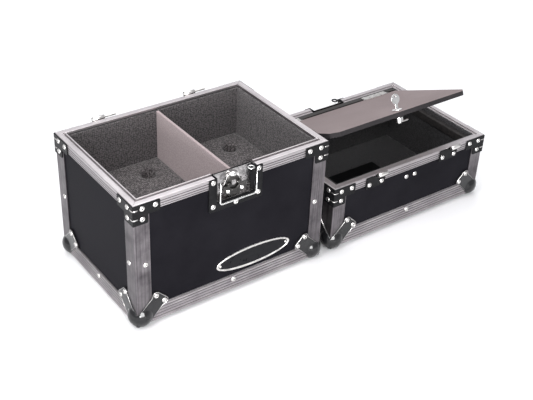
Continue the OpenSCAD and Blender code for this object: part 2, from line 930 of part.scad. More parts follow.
module plug() {
    translate([0, -lock_y, -cam_z + cam_t]) difference() {
        cylinder(r = plug_r, h = cam_z - cam_t + collar_h);
        translate([-key_w / 2 - run, -key_t / 2 - run, cam_z - cam_t + collar_h - key_slot])
            cube([key_w + 2 * run, key_t + 2 * run, key_slot + over]);
    }
}

module cam() {
    translate([0, -lock_y, -cam_z]) {
        linear_extrude(cam_t) {
            circle(cam_w / 2);
            translate([0, -cam_w / 2]) square([cam_l - cam_w / 2, cam_w]);
            translate([cam_l - cam_w / 2, 0]) circle(cam_w / 2);
        }
        translate([0, 0, -cam_t]) cylinder(r = cam_w / 3, h = cam_t, $fn = 6);
    }
}

// Key: round bow with a hole near its top, and a flat blade with three cuts
bow_hole_up = bow_r / 2;

module key_outline(blade) {
    difference() {
        union() {
            translate([0, bow_up]) circle(bow_r);
            translate([-key_w / 2, -blade]) square([key_w, blade + bow_up]);
        }
        translate([0, bow_up + bow_hole_up]) circle(bow_hole_r);
        for (k = [1:3]) translate([key_w / 2, -k * blade / 4]) circle(key_w / 5, $fn = 4);
    }
}

module key() {
    translate([0, -lock_y, collar_h]) rotate([90, 0, 0]) translate([0, 0, -key_t / 2]) linear_extrude(key_t)
        key_outline(key_slot - over);
}

// Carrying handle under the lid, in a dish let into its outer panel

pan_t = 1.4;
pan_z = metal_t;
pivot_y = pan_d / 2 - grip_r - 2 * over;
pivot_z = pan_z + pan_h / 2;
pan_rivet_in = 9;
spring_l = 7;
arm_x = pan_w / 2 - bail_r - spring_l;
spring_wire_r = 0.45;
spring_r = 4.4;
grip_l = 2 * (arm_x - bail_r - air);
spring_turns = 5;

module handle_cut(grow) {
    block([-pan_w / 2 - grow, -pan_d / 2 - grow, -over],
        [pan_w / 2 + grow, pan_d / 2 + grow, pan_z + pan_h + grow]);
}

pan_rivets = [for (sx = [-1, 1], sy = [-1, 1])
    [sx * (grip_flange_w / 2 - pan_rivet_in), sy * (grip_flange_d / 2 - pan_rivet_in)]];

module pan() {
    difference() {
        union() {
            translate([-grip_flange_w / 2, -grip_flange_d / 2, pan_z - pan_t]) linear_extrude(pan_t)
                round_rect(grip_flange_w, grip_flange_d, ear_lobe_r);
            block([-pan_w / 2 - pan_t, -pan_d / 2 - pan_t, pan_z - pan_t / 2],
                [pan_w / 2 + pan_t, pan_d / 2 + pan_t, pan_z + pan_h + pan_t]);
        }
        handle_cut(0);
        for (p = pan_rivets) translate([p[0], p[1], pan_z - pan_t]) mirror([0, 0, 1]) rivet_hole(pan_t);
        translate([-pan_w, pivot_y, pivot_z]) rotate([0, 90, 0]) cylinder(r = bail_r + run, h = 2 * pan_w);
    }
}

// Bail: two ends in the dish walls, two arms and the bar through the grip
module bail() {
    bar_y = pivot_y - bail_l;
    for (s = [0, 1]) mirror([s, 0, 0]) {
        translate([arm_x, pivot_y, pivot_z]) rotate([0, 90, 0])
            cylinder(r = bail_r, h = pan_w / 2 - arm_x + pan_t);
        translate([arm_x, pivot_y, pivot_z]) rotate([90, 0, 0]) cylinder(r = bail_r, h = bail_l);
        translate([arm_x, pivot_y, pivot_z]) sphere(bail_r);
        translate([arm_x, bar_y, pivot_z]) sphere(bail_r);
    }
    translate([-arm_x, bar_y, pivot_z]) rotate([0, 90, 0]) cylinder(r = bail_r, h = 2 * arm_x);
}

module grip() {
    translate([-grip_l / 2, pivot_y - bail_l, pivot_z]) rotate([0, 90, 0]) difference() {
        cylinder(r = grip_r, h = grip_l);
        translate([0, 0, -over]) cylinder(r = bail_r, h = grip_l + 2 * over);
    }
}

// Return springs, one coiled round each end of the bail

spring_sides = 6;
spring_rings = 8;

// Points of ring n of a coil that climbs along Z, n counting from 0 at its foot
function coil_ring(n) = let (a = 360 * n / spring_rings, rise = spring_pitch * n / spring_rings)
    [for (k = [0:spring_sides - 1]) let (b = 360 * k / spring_sides, r = spring_r + spring_wire_r * cos(b))
        [r * cos(a), r * sin(a), rise + spring_wire_r * sin(b)]];

// Triangles between ring n and the next
function coil_wall(n) = [for (k = [0:spring_sides - 1])
    let (a = n * spring_sides + k, b = n * spring_sides + (k + 1) % spring_sides)
        each [[a, b, b + spring_sides], [a, b + spring_sides, a + spring_sides]]];

spring_pitch = (spring_l - 2 * air - 2 * spring_wire_r) / spring_turns;

module coil() {
    last = spring_turns * spring_rings;
    points = [for (n = [0:last]) each coil_ring(n)];
    foot = [for (k = [2:spring_sides - 1]) [0, k, k - 1]];
    head = [for (f = foot) [for (k = [2, 1, 0]) f[k] + last * spring_sides]];
    walls = [for (n = [0:last - 1]) each coil_wall(n)];
    polyhedron(points, concat(foot, head, walls));
}

module springs() {
    for (s = [0, 1]) mirror([s, 0, 0])
        translate([pan_w / 2 - spring_l + air + spring_wire_r, pivot_y, pivot_z]) rotate([0, 90, 0]) coil();
}

// Case nodes

module case_front_panel() {
    color("#26262a") on_case() on_side(0) difference() {
        long_panel(case_h);
        dish_room(case_h);
    }
}

module case_back_panel() {
    color("#26262a") on_case() on_side(2) long_panel(case_h);
}

module case_left_panel() {
    color("#26262a") on_case() on_side(3) short_panel(case_h);
}

module case_right_panel() {
    color("#26262a") on_case() on_side(1) short_panel(case_h);
}

module case_bottom_panel() {
    color("#26262a") on_case() floor_panel();
}

module case_corner_angles() {
    color("#a3a0a2") on_case() corner_angles(case_h);
}

module case_base_angles() {
    color("#a3a0a2") on_case() base_angles();
}

module case_rim() {
    color("#dcd6d6") on_case() rim(case_h, tongue_h, 0);
}

module case_corner_braces() {
    color("#1b1b1e") on_case() corner_braces(case_h);
}

module case_ball_corners() {
    color("#1b1b1e") on_case() ball_corners();
}

module case_rivets() {
    color("#d8d4d2") on_case() {
        box_rivets(case_h);
        on_side(0) translate([0, 0, case_h]) dish_rivets();
        at_hinges(2, case_h) for (p = hinge_rivets) face_at(p[0], -p[1], hinge_t) rivet(hinge_t);
    }
}

module case_wall_lining() {
    color("#4b4b50") on_case() for (i = [0:3]) difference() {
        lining(i, case_h, case_h - liner_drop);
        on_side(0) dish_room(case_h);
    }
}

module microphone_foam_left() {
    color("#6a6466") on_case() mirror([1, 0, 0]) foam_block();
}

module microphone_foam_right() {
    color("#6a6466") on_case() foam_block();
}

module foam_base_sheets() {
    color("#5c5658") on_case() for (s = [0, 1]) mirror([s, 0, 0]) foam_sheet();
}

module divider() {
    color("#a59694") on_case()
        block([-divider_t / 2, -room_y, floor_z], [divider_t / 2, room_y, case_h - liner_drop]);
}

module latch_dish() {
    color("#1b1b1e") on_case() on_side(0) translate([0, 0, case_h]) {
        dish();
        padlock_eye();
    }
}

module latch_base() {
    color("#b8b4b2") on_case() on_side(0) translate([0, 0, case_h]) base_plate();
}

module latch_hook() {
    color("#d0cccb") on_case() on_side(0) translate([0, 0, case_h]) hook();
}

module latch_rotor() {
    color("#6d6a69") on_case() on_side(0) translate([0, 0, case_h]) rotor();
}

module latch_wing() {
    color("#4c4947") on_case() on_side(0) translate([0, 0, case_h]) wing();
}

module latch_wing_pins() {
    color("#c8c4c2") on_case() on_side(0) translate([0, 0, case_h]) wing_pins();
}

module name_plate() {
    color("#121214") on_case() on_side(0) plate();
}

module name_plate_rivets() {
    color("#d8d4d2") on_case() on_side(0) for (s = [-1, 1])
        face_at(plate_x + s * (plate_w / 2 - plate_rivet_in), plate_z, plate_t - metal_t)
            rivet(plate_t, plate_rivet_r, plate_rivet_h);
}

module case_hinge_leaves() {
    color("#2a292c") on_case() at_hinges(2, case_h) hinge_leaf();
}

module case_hinge_pins() {
    color("#c8c4c2") on_case() at_hinges(2, case_h) hinge_pin();
}

// Lid nodes. Side 0 of the lid, towards the viewer, is its hinge side, and side 2 its latch side

module lid_front_panel() {
    color("#26262a") on_lid() on_side(0) long_panel(lid_h);
}

module lid_back_panel() {
    color("#26262a") on_lid() on_side(2) difference() {
        long_panel(lid_h);
        dish_room(lid_h);
    }
}

module lid_left_panel() {
    color("#26262a") on_lid() on_side(3) short_panel(lid_h);
}

module lid_right_panel() {
    color("#26262a") on_lid() on_side(1) short_panel(lid_h);
}

module lid_top_panel() {
    color("#26262a") on_lid() difference() {
        floor_panel();
        handle_cut(pan_t);
    }
}

module lid_corner_angles() {
    color("#a3a0a2") on_lid() corner_angles(lid_h);
}

module lid_base_angles() {
    color("#a3a0a2") on_lid() base_angles();
}

module lid_rim() {
    color("#dcd6d6") on_lid() rim(lid_h, -tongue_h, 2);
}

module lid_corner_braces() {
    color("#1b1b1e") on_lid() corner_braces(lid_h);
}

module lid_ball_corners() {
    color("#1b1b1e") on_lid() ball_corners();
}

module lid_rivets() {
    color("#d8d4d2") on_lid() {
        box_rivets(lid_h);
        on_side(2) translate([0, 0, lid_h]) dish_rivets();
        at_hinges(0, lid_h) for (p = hinge_rivets) face_at(p[0], -p[1], hinge_t) rivet(hinge_t);
        on_side(0) for (s = [-1, 1]) face_at(s * bracket_rivet_x, bracket_rivet_z, -metal_t) rivet(0);
        for (p = pan_rivets) translate([p[0], p[1], pan_z - pan_t]) mirror([0, 0, 1]) rivet(pan_t);
    }
}

module lid_wall_lining() {
    color("#3c3b3f") on_lid() for (i = [0:3]) difference() {
        lining(i, lid_h, i == 2 ? cover_hinge_z - rail_h : lid_h - liner_drop);
        on_side(2) dish_room(lid_h);
    }
}

module lid_floor_lining() {
    color("#3c3b3f") on_lid() difference() {
        block([-room_x, -room_y, floor_z], [room_x, room_y, floor_z + floor_liner_t]);
        handle_cut(pan_t);
    }
}

module lid_hinge_leaves() {
    color("#2a292c") on_lid() at_hinges(0, lid_h) hinge_leaf();
}

module keeper_dish() {
    color("#1b1b1e") on_lid() on_side(2) translate([0, 0, lid_h]) {
        dish();
        mirror([1, 0, 0]) padlock_eye();
    }
}

module keeper_plate() {
    color("#b8b4b2") on_lid() on_side(2) translate([0, 0, lid_h]) keeper();
}

module strike_bracket() {
    color("#c8c4c2") on_lid() on_side(0) bracket();
}

module hinge_rail() {
    color("#2c2a2b") on_lid() on_side(2) rail();
}

module cover_cleats() {
    color("#2c2a2b") on_lid() cleats();
}

module cover_hinge_fixed_leaves() {
    color("#cfcbc9") on_lid() for (s = [-1, 1]) translate([s * butt_x, cover_hinge_y, cover_hinge_z])
        mirror([0, 1, 0]) butt_leaf_plate(0);
}

module cover_hinge_pins() {
    color("#cfcbc9") on_lid() for (s = [-1, 1])
        translate([s * butt_x, cover_hinge_y, cover_hinge_z]) butt_pin();
}

// Cover nodes

module cover_board() {
    color("#91888a") on_cover() board();
}

module cover_hinge_moving_leaves() {
    color("#cfcbc9") on_cover() for (s = [-1, 1]) translate([s * butt_x, 0, 0]) butt_leaf_plate(1);
}

module lock_body() {
    color("#dedad8") on_cover() lock_shell();
}

module lock_nut() {
    color("#c8c4c2") on_cover() nut();
}

// Lock nodes

module lock_plug() {
    color("#dedad8") on_cover() plug();
}

module lock_cam() {
    color("#c8c4c2") on_cover() cam();
}

module lock_key() {
    color("#e6e2e0") on_cover() key();
}

// Handle nodes

module handle_dish() {
    color("#1b1b1e") on_lid() pan();
}

module handle_bail() {
    color("#c8c4c2") on_lid() bail();
}

module handle_grip() {
    color("#1a1a1a") on_lid() grip();
}

module handle_springs() {
    color("#c8c4c2") on_lid() springs();
}

case_front_panel();
case_back_panel();
case_left_panel();
case_right_panel();
case_bottom_panel();
case_corner_angles();
case_base_angles();
case_rim();
case_corner_braces();
case_ball_corners();
case_rivets();
case_wall_lining();
microphone_foam_left();
microphone_foam_right();
foam_base_sheets();
divider();
latch_dish();
latch_base();
latch_hook();
latch_rotor();
latch_wing();
latch_wing_pins();
name_plate();
name_plate_rivets();
case_hinge_leaves();
case_hinge_pins();
lid_front_panel();
lid_back_panel();
lid_left_panel();
lid_right_panel();
lid_top_panel();
lid_corner_angles();
lid_base_angles();
lid_rim();
lid_corner_braces();
lid_ball_corners();
lid_rivets();
lid_wall_lining();
lid_floor_lining();
lid_hinge_leaves();
keeper_dish();
keeper_plate();
strike_bracket();
hinge_rail();
cover_cleats();
cover_hinge_fixed_leaves();
cover_hinge_pins();
cover_board();
cover_hinge_moving_leaves();
lock_body();
lock_nut();
lock_plug();
lock_cam();
lock_key();
handle_dish();
handle_bail();
handle_grip();
handle_springs();
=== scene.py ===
# %% [markdown]
# This lesson dresses a small flight case with drilled foam inside. The case stands open and its lid
# lies upside down beside it. The imported model gives every piece at its real size, in metres, with Z
# up and the ground at 0.

# %% Load the frame
import json
import math
import bmesh
import bpy
from mathutils import Matrix, Vector, noise


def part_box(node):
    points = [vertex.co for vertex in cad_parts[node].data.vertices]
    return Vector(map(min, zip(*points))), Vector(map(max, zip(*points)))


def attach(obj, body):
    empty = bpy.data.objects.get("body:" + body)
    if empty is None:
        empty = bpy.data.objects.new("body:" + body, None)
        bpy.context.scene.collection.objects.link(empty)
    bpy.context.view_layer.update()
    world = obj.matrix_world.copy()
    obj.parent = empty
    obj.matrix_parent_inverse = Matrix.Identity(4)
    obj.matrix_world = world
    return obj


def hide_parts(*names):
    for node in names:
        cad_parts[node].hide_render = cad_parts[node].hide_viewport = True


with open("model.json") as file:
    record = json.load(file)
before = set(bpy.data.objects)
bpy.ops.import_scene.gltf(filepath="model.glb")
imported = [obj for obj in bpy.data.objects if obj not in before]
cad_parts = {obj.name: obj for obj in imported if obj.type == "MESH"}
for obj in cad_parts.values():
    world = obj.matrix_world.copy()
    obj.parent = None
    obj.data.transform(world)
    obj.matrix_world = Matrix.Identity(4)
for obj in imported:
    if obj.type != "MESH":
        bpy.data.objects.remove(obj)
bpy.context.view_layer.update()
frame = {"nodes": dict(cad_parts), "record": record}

record = frame["record"]
home = {node: body for body, nodes in record["behaviour"]["bodies"].items() for node in nodes}

# %% [markdown]
# The camera stands where the photograph was taken from: in front of the case, to its left and above
# it. It could be aimed with a constraint, but the photograph is tilted by nearly three degrees, so
# the turn is built from the direction of view and that tilt.

# %% Camera
SENSOR = 36.0
LENS = 66.07
CAMERA_PLACE = Vector((-0.974075, -1.231415, 1.074831))
TURN, DIP, TILT = math.radians(-37.26), math.radians(33.283), math.radians(-2.738)


def camera_turn():
    ahead = Vector((-math.sin(TURN) * math.cos(DIP), math.cos(TURN) * math.cos(DIP), -math.sin(DIP)))
    level = ahead.cross(Vector((0, 0, 1))).normalized()
    upright = level.cross(ahead)
    right = level * math.cos(TILT) - upright * math.sin(TILT)
    up = upright * math.cos(TILT) + level * math.sin(TILT)
    return Matrix((right, up, -ahead)).transposed()


camera = bpy.data.objects.new("camera", bpy.data.cameras.new("camera"))
camera.data.lens = LENS
camera.data.sensor_width = SENSOR
camera.matrix_world = Matrix.Translation(CAMERA_PLACE) @ camera_turn().to_4x4()
bpy.context.scene.collection.objects.link(camera)
bpy.context.scene.camera = camera
print("camera:", [round(v, 3) for v in camera.location])

# %% [markdown]
# The photograph is a studio shot on white. A large lamp overhead gives the bright rims. A small one
# beside the camera, one from the left and a low one fill the dark sides. The last is a broad panel
# that is seen only in reflections, as a white card held up for shiny metal, so it puts a spark on
# the balls and rivets and hardly changes the foam. A pale sky fills the rest.

# %% Light
LAMP_AIM = Vector((0, 0, 0.1))
SKY_COLOUR = (0.96, 0.97, 1.0, 1)
SKY_STRENGTH = 0.62


def soft_lamp(name, place, side, power):
    """A square lamp of the given side, in metres, and power, in watts."""
    lamp = bpy.data.objects.new(name, bpy.data.lights.new(name, "AREA"))
    lamp.data.shape = "SQUARE"
    lamp.data.size = side
    lamp.data.energy = power
    lamp.location = place
    lamp.rotation_euler = (LAMP_AIM - Vector(place)).to_track_quat("-Z", "Y").to_euler()
    bpy.context.scene.collection.objects.link(lamp)
    print(name, side, "m,", power, "W")
    return lamp


soft_lamp("lamp_above", (0.3, 0.8, 2.6), 2.4, 44)
soft_lamp("lamp_camera", (-0.80, -1.38, 1.25), 0.25, 11)
soft_lamp("lamp_left", (-1.6, -0.5, 1.5), 1.0, 19)
soft_lamp("lamp_low", (-1.1, -1.4, 0.40), 0.24, 11)
shine = soft_lamp("lamp_shine", (-0.55, -1.50, 0.75), 1.0, 62)
shine.visible_diffuse = False

world = bpy.data.worlds.new("studio")
world.use_nodes = True
sky = world.node_tree.nodes["Background"]
sky.inputs["Color"].default_value = SKY_COLOUR
sky.inputs["Strength"].default_value = SKY_STRENGTH
bpy.context.scene.world = world
bpy.context.scene.view_settings.view_transform = "Standard"

# %% [markdown]
# Every finish below is a small tree of nodes. The node editor would do for one finish, but there are
# more than twenty, so short helpers build them: one adds a node and fills its sockets, one makes a
# material around the standard shader, and the rest are the few nodes that come back all the time.
# Values that are the same all over a surface are set on the shader itself.

# %% Helpers for finishes
def add_node(tree, kind, sockets=None, **settings):
    made = tree.nodes.new(kind)
    for key, value in settings.items():
        setattr(made, key, value)
    for key, value in (sockets or {}).items():
        if isinstance(value, bpy.types.NodeSocket):
            tree.links.new(value, made.inputs[key])
        else:
            made.inputs[key].default_value = value
    return made


def new_finish(name, **sockets):
    finish = bpy.data.materials.new(name)
    finish.use_nodes = True
    shader = finish.node_tree.nodes["Principled BSDF"]
    for key, value in sockets.items():
        shader.inputs[key.replace("_", " ")].default_value = value
    return finish, finish.node_tree, shader


def place_of(tree, stretch=(1, 1, 1)):
    """The point on the object, in metres, stretched along the axes."""
    spot = add_node(tree, "ShaderNodeTexCoord").outputs["Object"]
    return add_node(tree, "ShaderNodeMapping", {"Vector": spot, "Scale": stretch}).outputs[0]


def noise_of(tree, place, scale, detail=4.0, rough=0.6):
    return add_node(tree, "ShaderNodeTexNoise", {
        "Vector": place, "Scale": scale, "Detail": detail, "Roughness": rough}).outputs["Fac"]


def between(tree, fac, low, high, start=0.3, end=0.7):
    """Spreads a factor from start..end over low..high. Noise lies mostly from 0.3 to 0.7."""
    return add_node(tree, "ShaderNodeMapRange", {
        "Value": fac, "From Min": start, "From Max": end, "To Min": low, "To Max": high}).outputs[0]


def worked(tree, kind, first, second):
    return add_node(tree, "ShaderNodeMath", {0: first, 1: second}, operation=kind).outputs[0]


def absolute(tree, value):
    return add_node(tree, "ShaderNodeMath", {0: value}, operation="ABSOLUTE").outputs[0]


def two_tone(tree, fac, dark, light):
    tones = {0: fac, 6: (*dark, 1), 7: (*light, 1)}
    return add_node(tree, "ShaderNodeMix", tones, data_type="RGBA").outputs[2]


def relief(tree, shader, height, depth):
    bump = add_node(tree, "ShaderNodeBump", {"Height": height, "Distance": depth, "Strength": 1.0})
    tree.links.new(bump.outputs[0], shader.inputs["Normal"])


print("materials of the packed model:", len(bpy.data.materials))

# %% [markdown]
# The walls are plywood with a black laminate pressed in a fine pebble grain. A cell pattern at
# about a millimetre and a half makes the pebbles, and broad noise makes the sheen uneven, as
# handling does. Modelled pebbles would need millions of faces. The relief is a few hundredths of a
# millimetre, so it only breaks the gloss.

# %% Laminate
PEBBLE_DEPTH = 0.00006
SMEARS_PER_METRE = 9.0
GRAIN_IN_PEBBLE = 2.2
SMEARS_DULL = 0.12


def laminate_finish(name, dark, light, rough, pebble):
    finish, tree, shader = new_finish(name, Specular_IOR_Level=0.015)
    place = place_of(tree)
    smears = noise_of(tree, place, SMEARS_PER_METRE, detail=5.0)
    cells = add_node(tree, "ShaderNodeTexVoronoi", {"Vector": place, "Scale": 1 / pebble},
        feature="SMOOTH_F1").outputs["Distance"]
    grain = worked(tree, "ADD", cells, noise_of(tree, place, GRAIN_IN_PEBBLE / pebble))
    tone = two_tone(tree, between(tree, smears, 0, 1), dark, light)
    tree.links.new(tone, shader.inputs["Base Color"])
    tree.links.new(between(tree, smears, rough, rough + SMEARS_DULL), shader.inputs["Roughness"])
    relief(tree, shader, grain, PEBBLE_DEPTH)
    print("laminate:", name)
    return finish


LAMINATE = laminate_finish("black_laminate", (0.0088, 0.0083, 0.0108), (0.0145, 0.0139, 0.0172),
    rough=0.36, pebble=0.0016)
COVER_GREY = laminate_finish("grey_laminate", (0.215, 0.174, 0.174), (0.270, 0.224, 0.224),
    rough=0.42, pebble=0.0011)
COVER_EDGE = laminate_finish("cover_edge_band", (0.030, 0.028, 0.030), (0.050, 0.046, 0.048),
    rough=0.5, pebble=0.0012)

# %% [markdown]
# The extrusions are aluminium drawn through a die, which leaves fine lines along their length. The
# lines are noise stretched along the piece. An upright angle runs along Z. A rim or a base angle
# runs along X on the long sides and along Y on the short ones, and the mitre between them lies
# where a point is equally far from both outer faces, so the shader compares those two distances.
# For that it needs to know that case and lid stand 203 mm to either side of the middle, and that
# both are 380 mm wide and 268 mm deep.

# %% Lines of drawn metal
SIDE_X, HALF_W, HALF_D = 0.203, 0.190, 0.134
ALONG, ACROSS = 7.0, 520.0


def drawn_lines(tree, upright):
    """The stretched place for the lines, and on level pieces the depth below the outer face."""
    if upright:
        return place_of(tree, (ACROSS, ACROSS, ALONG)), None
    x, y, _ = add_node(tree, "ShaderNodeSeparateXYZ", {0: place_of(tree)}).outputs
    off_middle = worked(tree, "SUBTRACT", absolute(tree, x), SIDE_X)
    past_end = worked(tree, "SUBTRACT", absolute(tree, off_middle), HALF_W)
    past_side = worked(tree, "SUBTRACT", absolute(tree, y), HALF_D)
    on_end = worked(tree, "GREATER_THAN", past_end, past_side)
    ways = {0: on_end, 4: place_of(tree, (ALONG, ACROSS, ACROSS)),
        5: place_of(tree, (ACROSS, ALONG, ACROSS))}
    way = add_node(tree, "ShaderNodeMix", ways, data_type="VECTOR").outputs[1]
    return way, worked(tree, "MULTIPLY", worked(tree, "MAXIMUM", past_end, past_side), -1.0)


print("a line is about", round(1 / ALONG, 2), "m long and", round(1 / ACROSS, 4), "m wide")

# %% [markdown]
# The grooves of the ridged bands are darkened with painted shade and some grime, and every upright face
# of a band with painted shade alone, which keeps the bands darker than the tops. It could be painted
# into an image, but the grooves have a known depth, so the shader darkens what lies between two depths
# below the outer face. Only faces that stand upright count, so the tops of the rims stay bright.

# %% Painted shade and grime, and the drawn finishes
UPRIGHT_UP_TO = 0.7
GROOVE_STARTS, GROOVE_FULL, GROOVE_ENDS = 0.0002, 0.0005, 0.0011
# Painted shade: grooves darken by shade and dirt together, upright faces by shade alone.
GROOVE_SHADE_AND_DIRT, UPRIGHT_SHADE = 0.88, 0.44
GRIME_AND_SHADE = (0.05, 0.045, 0.05, 1)
PATCHES_PER_METRE = 24.0
DARKEST_AT, LIGHTEST_AT = 0.14, 0.38
STREAKS_DULL = 0.14


def painted_shade_and_grime(tree, colour, depth):
    facing = add_node(tree, "ShaderNodeNewGeometry").outputs["Normal"]
    rise = add_node(tree, "ShaderNodeSeparateXYZ", {0: facing}).outputs[2]
    side = worked(tree, "LESS_THAN", absolute(tree, rise), UPRIGHT_UP_TO)
    sunk = worked(tree, "MULTIPLY", between(tree, depth, 0, 1, GROOVE_STARTS, GROOVE_FULL),
        worked(tree, "LESS_THAN", depth, GROOVE_ENDS))
    in_groove = worked(tree, "MULTIPLY", sunk, GROOVE_SHADE_AND_DIRT)
    # Painted shade in the grooves and on every upright face, with some grime in the grooves.
    shade_and_dirt = worked(tree, "MULTIPLY", worked(tree, "MAXIMUM", in_groove, UPRIGHT_SHADE), side)
    return add_node(tree, "ShaderNodeMix", {0: shade_and_dirt, 6: colour, 7: GRIME_AND_SHADE}, data_type="RGBA").outputs[2]


def drawn_finish(name, dark, light, rough, lines, upright=False):
    finish, tree, shader = new_finish(name, Metallic=1.0)
    way, depth = drawn_lines(tree, upright)
    streaks = noise_of(tree, way, 1.0, detail=6.0, rough=0.7)
    patches = noise_of(tree, place_of(tree), PATCHES_PER_METRE, detail=5.0)
    both = worked(tree, "MULTIPLY", streaks, patches)
    tone = two_tone(tree, between(tree, both, 0, 1, DARKEST_AT, LIGHTEST_AT), dark, light)
    # Level pieces get painted shade in their grooves and on their upright faces.
    if not upright:
        tone = painted_shade_and_grime(tree, tone, depth)
    tree.links.new(tone, shader.inputs["Base Color"])
    tree.links.new(between(tree, streaks, rough, rough + STREAKS_DULL), shader.inputs["Roughness"])
    relief(tree, shader, streaks, lines)
    print("drawn metal:", name)
    return finish


RIM_METAL = drawn_finish("rim_aluminium", (0.58, 0.54, 0.552), (0.71, 0.672, 0.684),
    rough=0.30, lines=0.00004)
BASE_METAL = drawn_finish("base_aluminium", (0.44, 0.41, 0.424), (0.76, 0.717, 0.73),
    rough=0.34, lines=0.00006)
# Painted shade: the upright angles are the same aluminium as the rims, coloured far darker for the
# shade on their upright faces.
SHADED_ANGLE_METAL = drawn_finish("angle_aluminium_shaded", (0.058, 0.052, 0.057), (0.20, 0.185, 0.195),
    rough=0.34, lines=0.00008, upright=True)

# %% [markdown]
# Pressed fittings are black lacquered steel, the rivets and small hinges are zinc plated, and the hook
# and the lock are nickel. The floor of the latch is nickel too, but darker in broad blotches, and wavy.
# The ribs and beads get bright metal as a painted highlight, and the insides of the rivets' dimples a
# dark colour as painted shade. What shows is an uneven gloss, a little orange peel in the lacquer and
# smudges on the bright metal. Each could have a tree of its own, but one kind serves them all, in which
# the same smudges lead the roughness and the colour.

# %% Lacquer and plating
SMUDGES_IN_WAVE = 0.35
SMUDGES_DULL = 0.13


def plated_finish(name, dark, light, rough, metallic, peel, size=0.004, **sockets):
    """The peel is the depth of the skin's waves, and the size is their width, both in metres."""
    finish, tree, shader = new_finish(name, Metallic=metallic, **sockets)
    place = place_of(tree)
    smudge = noise_of(tree, place, SMUDGES_IN_WAVE / size, detail=5.0)
    waves = noise_of(tree, place, 1 / size, detail=3.0)
    tone = two_tone(tree, between(tree, smudge, 0, 1), dark, light)
    tree.links.new(tone, shader.inputs["Base Color"])
    tree.links.new(between(tree, smudge, rough, rough + SMUDGES_DULL), shader.inputs["Roughness"])
    relief(tree, shader, waves, peel)
    print("plating:", name)
    return finish


BLACK_STEEL = plated_finish("black_lacquer", (0.006, 0.006, 0.007), (0.012, 0.012, 0.013),
    rough=0.30, metallic=0.0, peel=0.00008,
    Specular_IOR_Level=0.05, Coat_Weight=0.12, Coat_Roughness=0.10)
BALL_STEEL = plated_finish("ball_lacquer", (0.006, 0.006, 0.007), (0.012, 0.012, 0.013),
    rough=0.25, metallic=0.0, peel=0.00005,
    Specular_IOR_Level=0.05, Coat_Weight=0.8, Coat_Roughness=0.12)
ZINC = plated_finish("bright_zinc", (0.62, 0.60, 0.58), (0.82, 0.80, 0.78),
    rough=0.22, metallic=1.0, peel=0.00002)
NICKEL = plated_finish("polished_nickel", (0.78, 0.77, 0.76), (0.90, 0.89, 0.88),
    rough=0.10, metallic=1.0, peel=0.000008)
DISH_NICKEL = plated_finish("dish_nickel", (0.10, 0.096, 0.096), (0.56, 0.54, 0.54),
    rough=0.18, metallic=1.0, peel=0.00028, size=0.0034)
# Painted highlight: bright metal for the ribs and beads on the black lacquer.
PAINTED_GLINT = plated_finish("ridge_glint", (0.32, 0.31, 0.31), (0.60, 0.58, 0.57),
    rough=0.28, metallic=1.0, peel=0.00004)
DARK_ZINC = plated_finish("dark_zinc", (0.028, 0.027, 0.026), (0.075, 0.072, 0.07),
    rough=0.24, metallic=0.8, peel=0.00003)
# Painted shade: the dark colour inside a rivet's dimple.
DIMPLE_SHADE = plated_finish("rivet_dimple_shade", (0.02, 0.02, 0.02), (0.06, 0.055, 0.055),
    rough=0.5, metallic=0.6, peel=0.00003)
ENAMEL = plated_finish("plate_enamel", (0.006, 0.006, 0.008), (0.010, 0.010, 0.012),
    rough=0.25, metallic=0.0, peel=0.00002, Specular_IOR_Level=0.12)

# %% [markdown]
# The linings are closed foam with an open, dotted skin. Cells of about three millimetres give the
# dots, in colour and in relief, and finer noise gives the powdery bloom of foam. Real dents would
# show no better from a step away. The soft light at grazing angles comes from the shader's sheen.

# %% Foam
DOT_DISORDER = 0.55
BLOOM_IN_DOT = 2.0
TONE_RANGE = {"start": 0.68, "end": 1.12}
RELIEF_RANGE = {"start": 0.5, "end": 1.3}


def foam_finish(name, dark, light, dot, depth):
    finish, tree, shader = new_finish(name, Roughness=0.92, Sheen_Weight=0.25, Sheen_Roughness=0.5,
        Specular_IOR_Level=0.2)
    place = place_of(tree)
    dots = add_node(tree, "ShaderNodeTexVoronoi",
        {"Vector": place, "Scale": 1 / dot, "Randomness": DOT_DISORDER}).outputs["Distance"]
    bloom = noise_of(tree, place, BLOOM_IN_DOT / dot, detail=6.0, rough=0.75)
    mixed = worked(tree, "ADD", dots, bloom)
    tone = two_tone(tree, between(tree, mixed, 1, 0, **TONE_RANGE), dark, light)
    tree.links.new(tone, shader.inputs["Base Color"])
    relief(tree, shader, between(tree, mixed, 1, 0, **RELIEF_RANGE), depth)
    print("foam:", name)
    return finish


WALL_FOAM = foam_finish("wall_foam", (0.029, 0.0265, 0.028), (0.138, 0.122, 0.125),
    dot=0.0036, depth=0.0007)
BLOCK_FOAM = foam_finish("block_foam", (0.040, 0.035, 0.036), (0.225, 0.200, 0.202),
    dot=0.0030, depth=0.0006)
DIVIDER_FOAM = foam_finish("divider_foam", (0.31, 0.248, 0.252), (0.42, 0.345, 0.35),
    dot=0.0030, depth=0.0002)
LID_FOAM = foam_finish("lid_foam", (0.020, 0.019, 0.021), (0.052, 0.050, 0.054),
    dot=0.0030, depth=0.0005)

# %% [markdown]
# The hinge rail and the cleats are wood stained black, with fibres along their length: noise again,
# squeezed across the grain. The grip is moulded rubber, matt and a little dusty, so it gets soft
# patches and a very fine relief.

# %% Wood and rubber
FIBRE_STRETCH = (9.0, 160.0, 160.0)
FIBRE_DEPTH = 0.00012
DUST_PER_METRE, PORES_PER_METRE, PORE_DEPTH = 90.0, 900.0, 0.00005


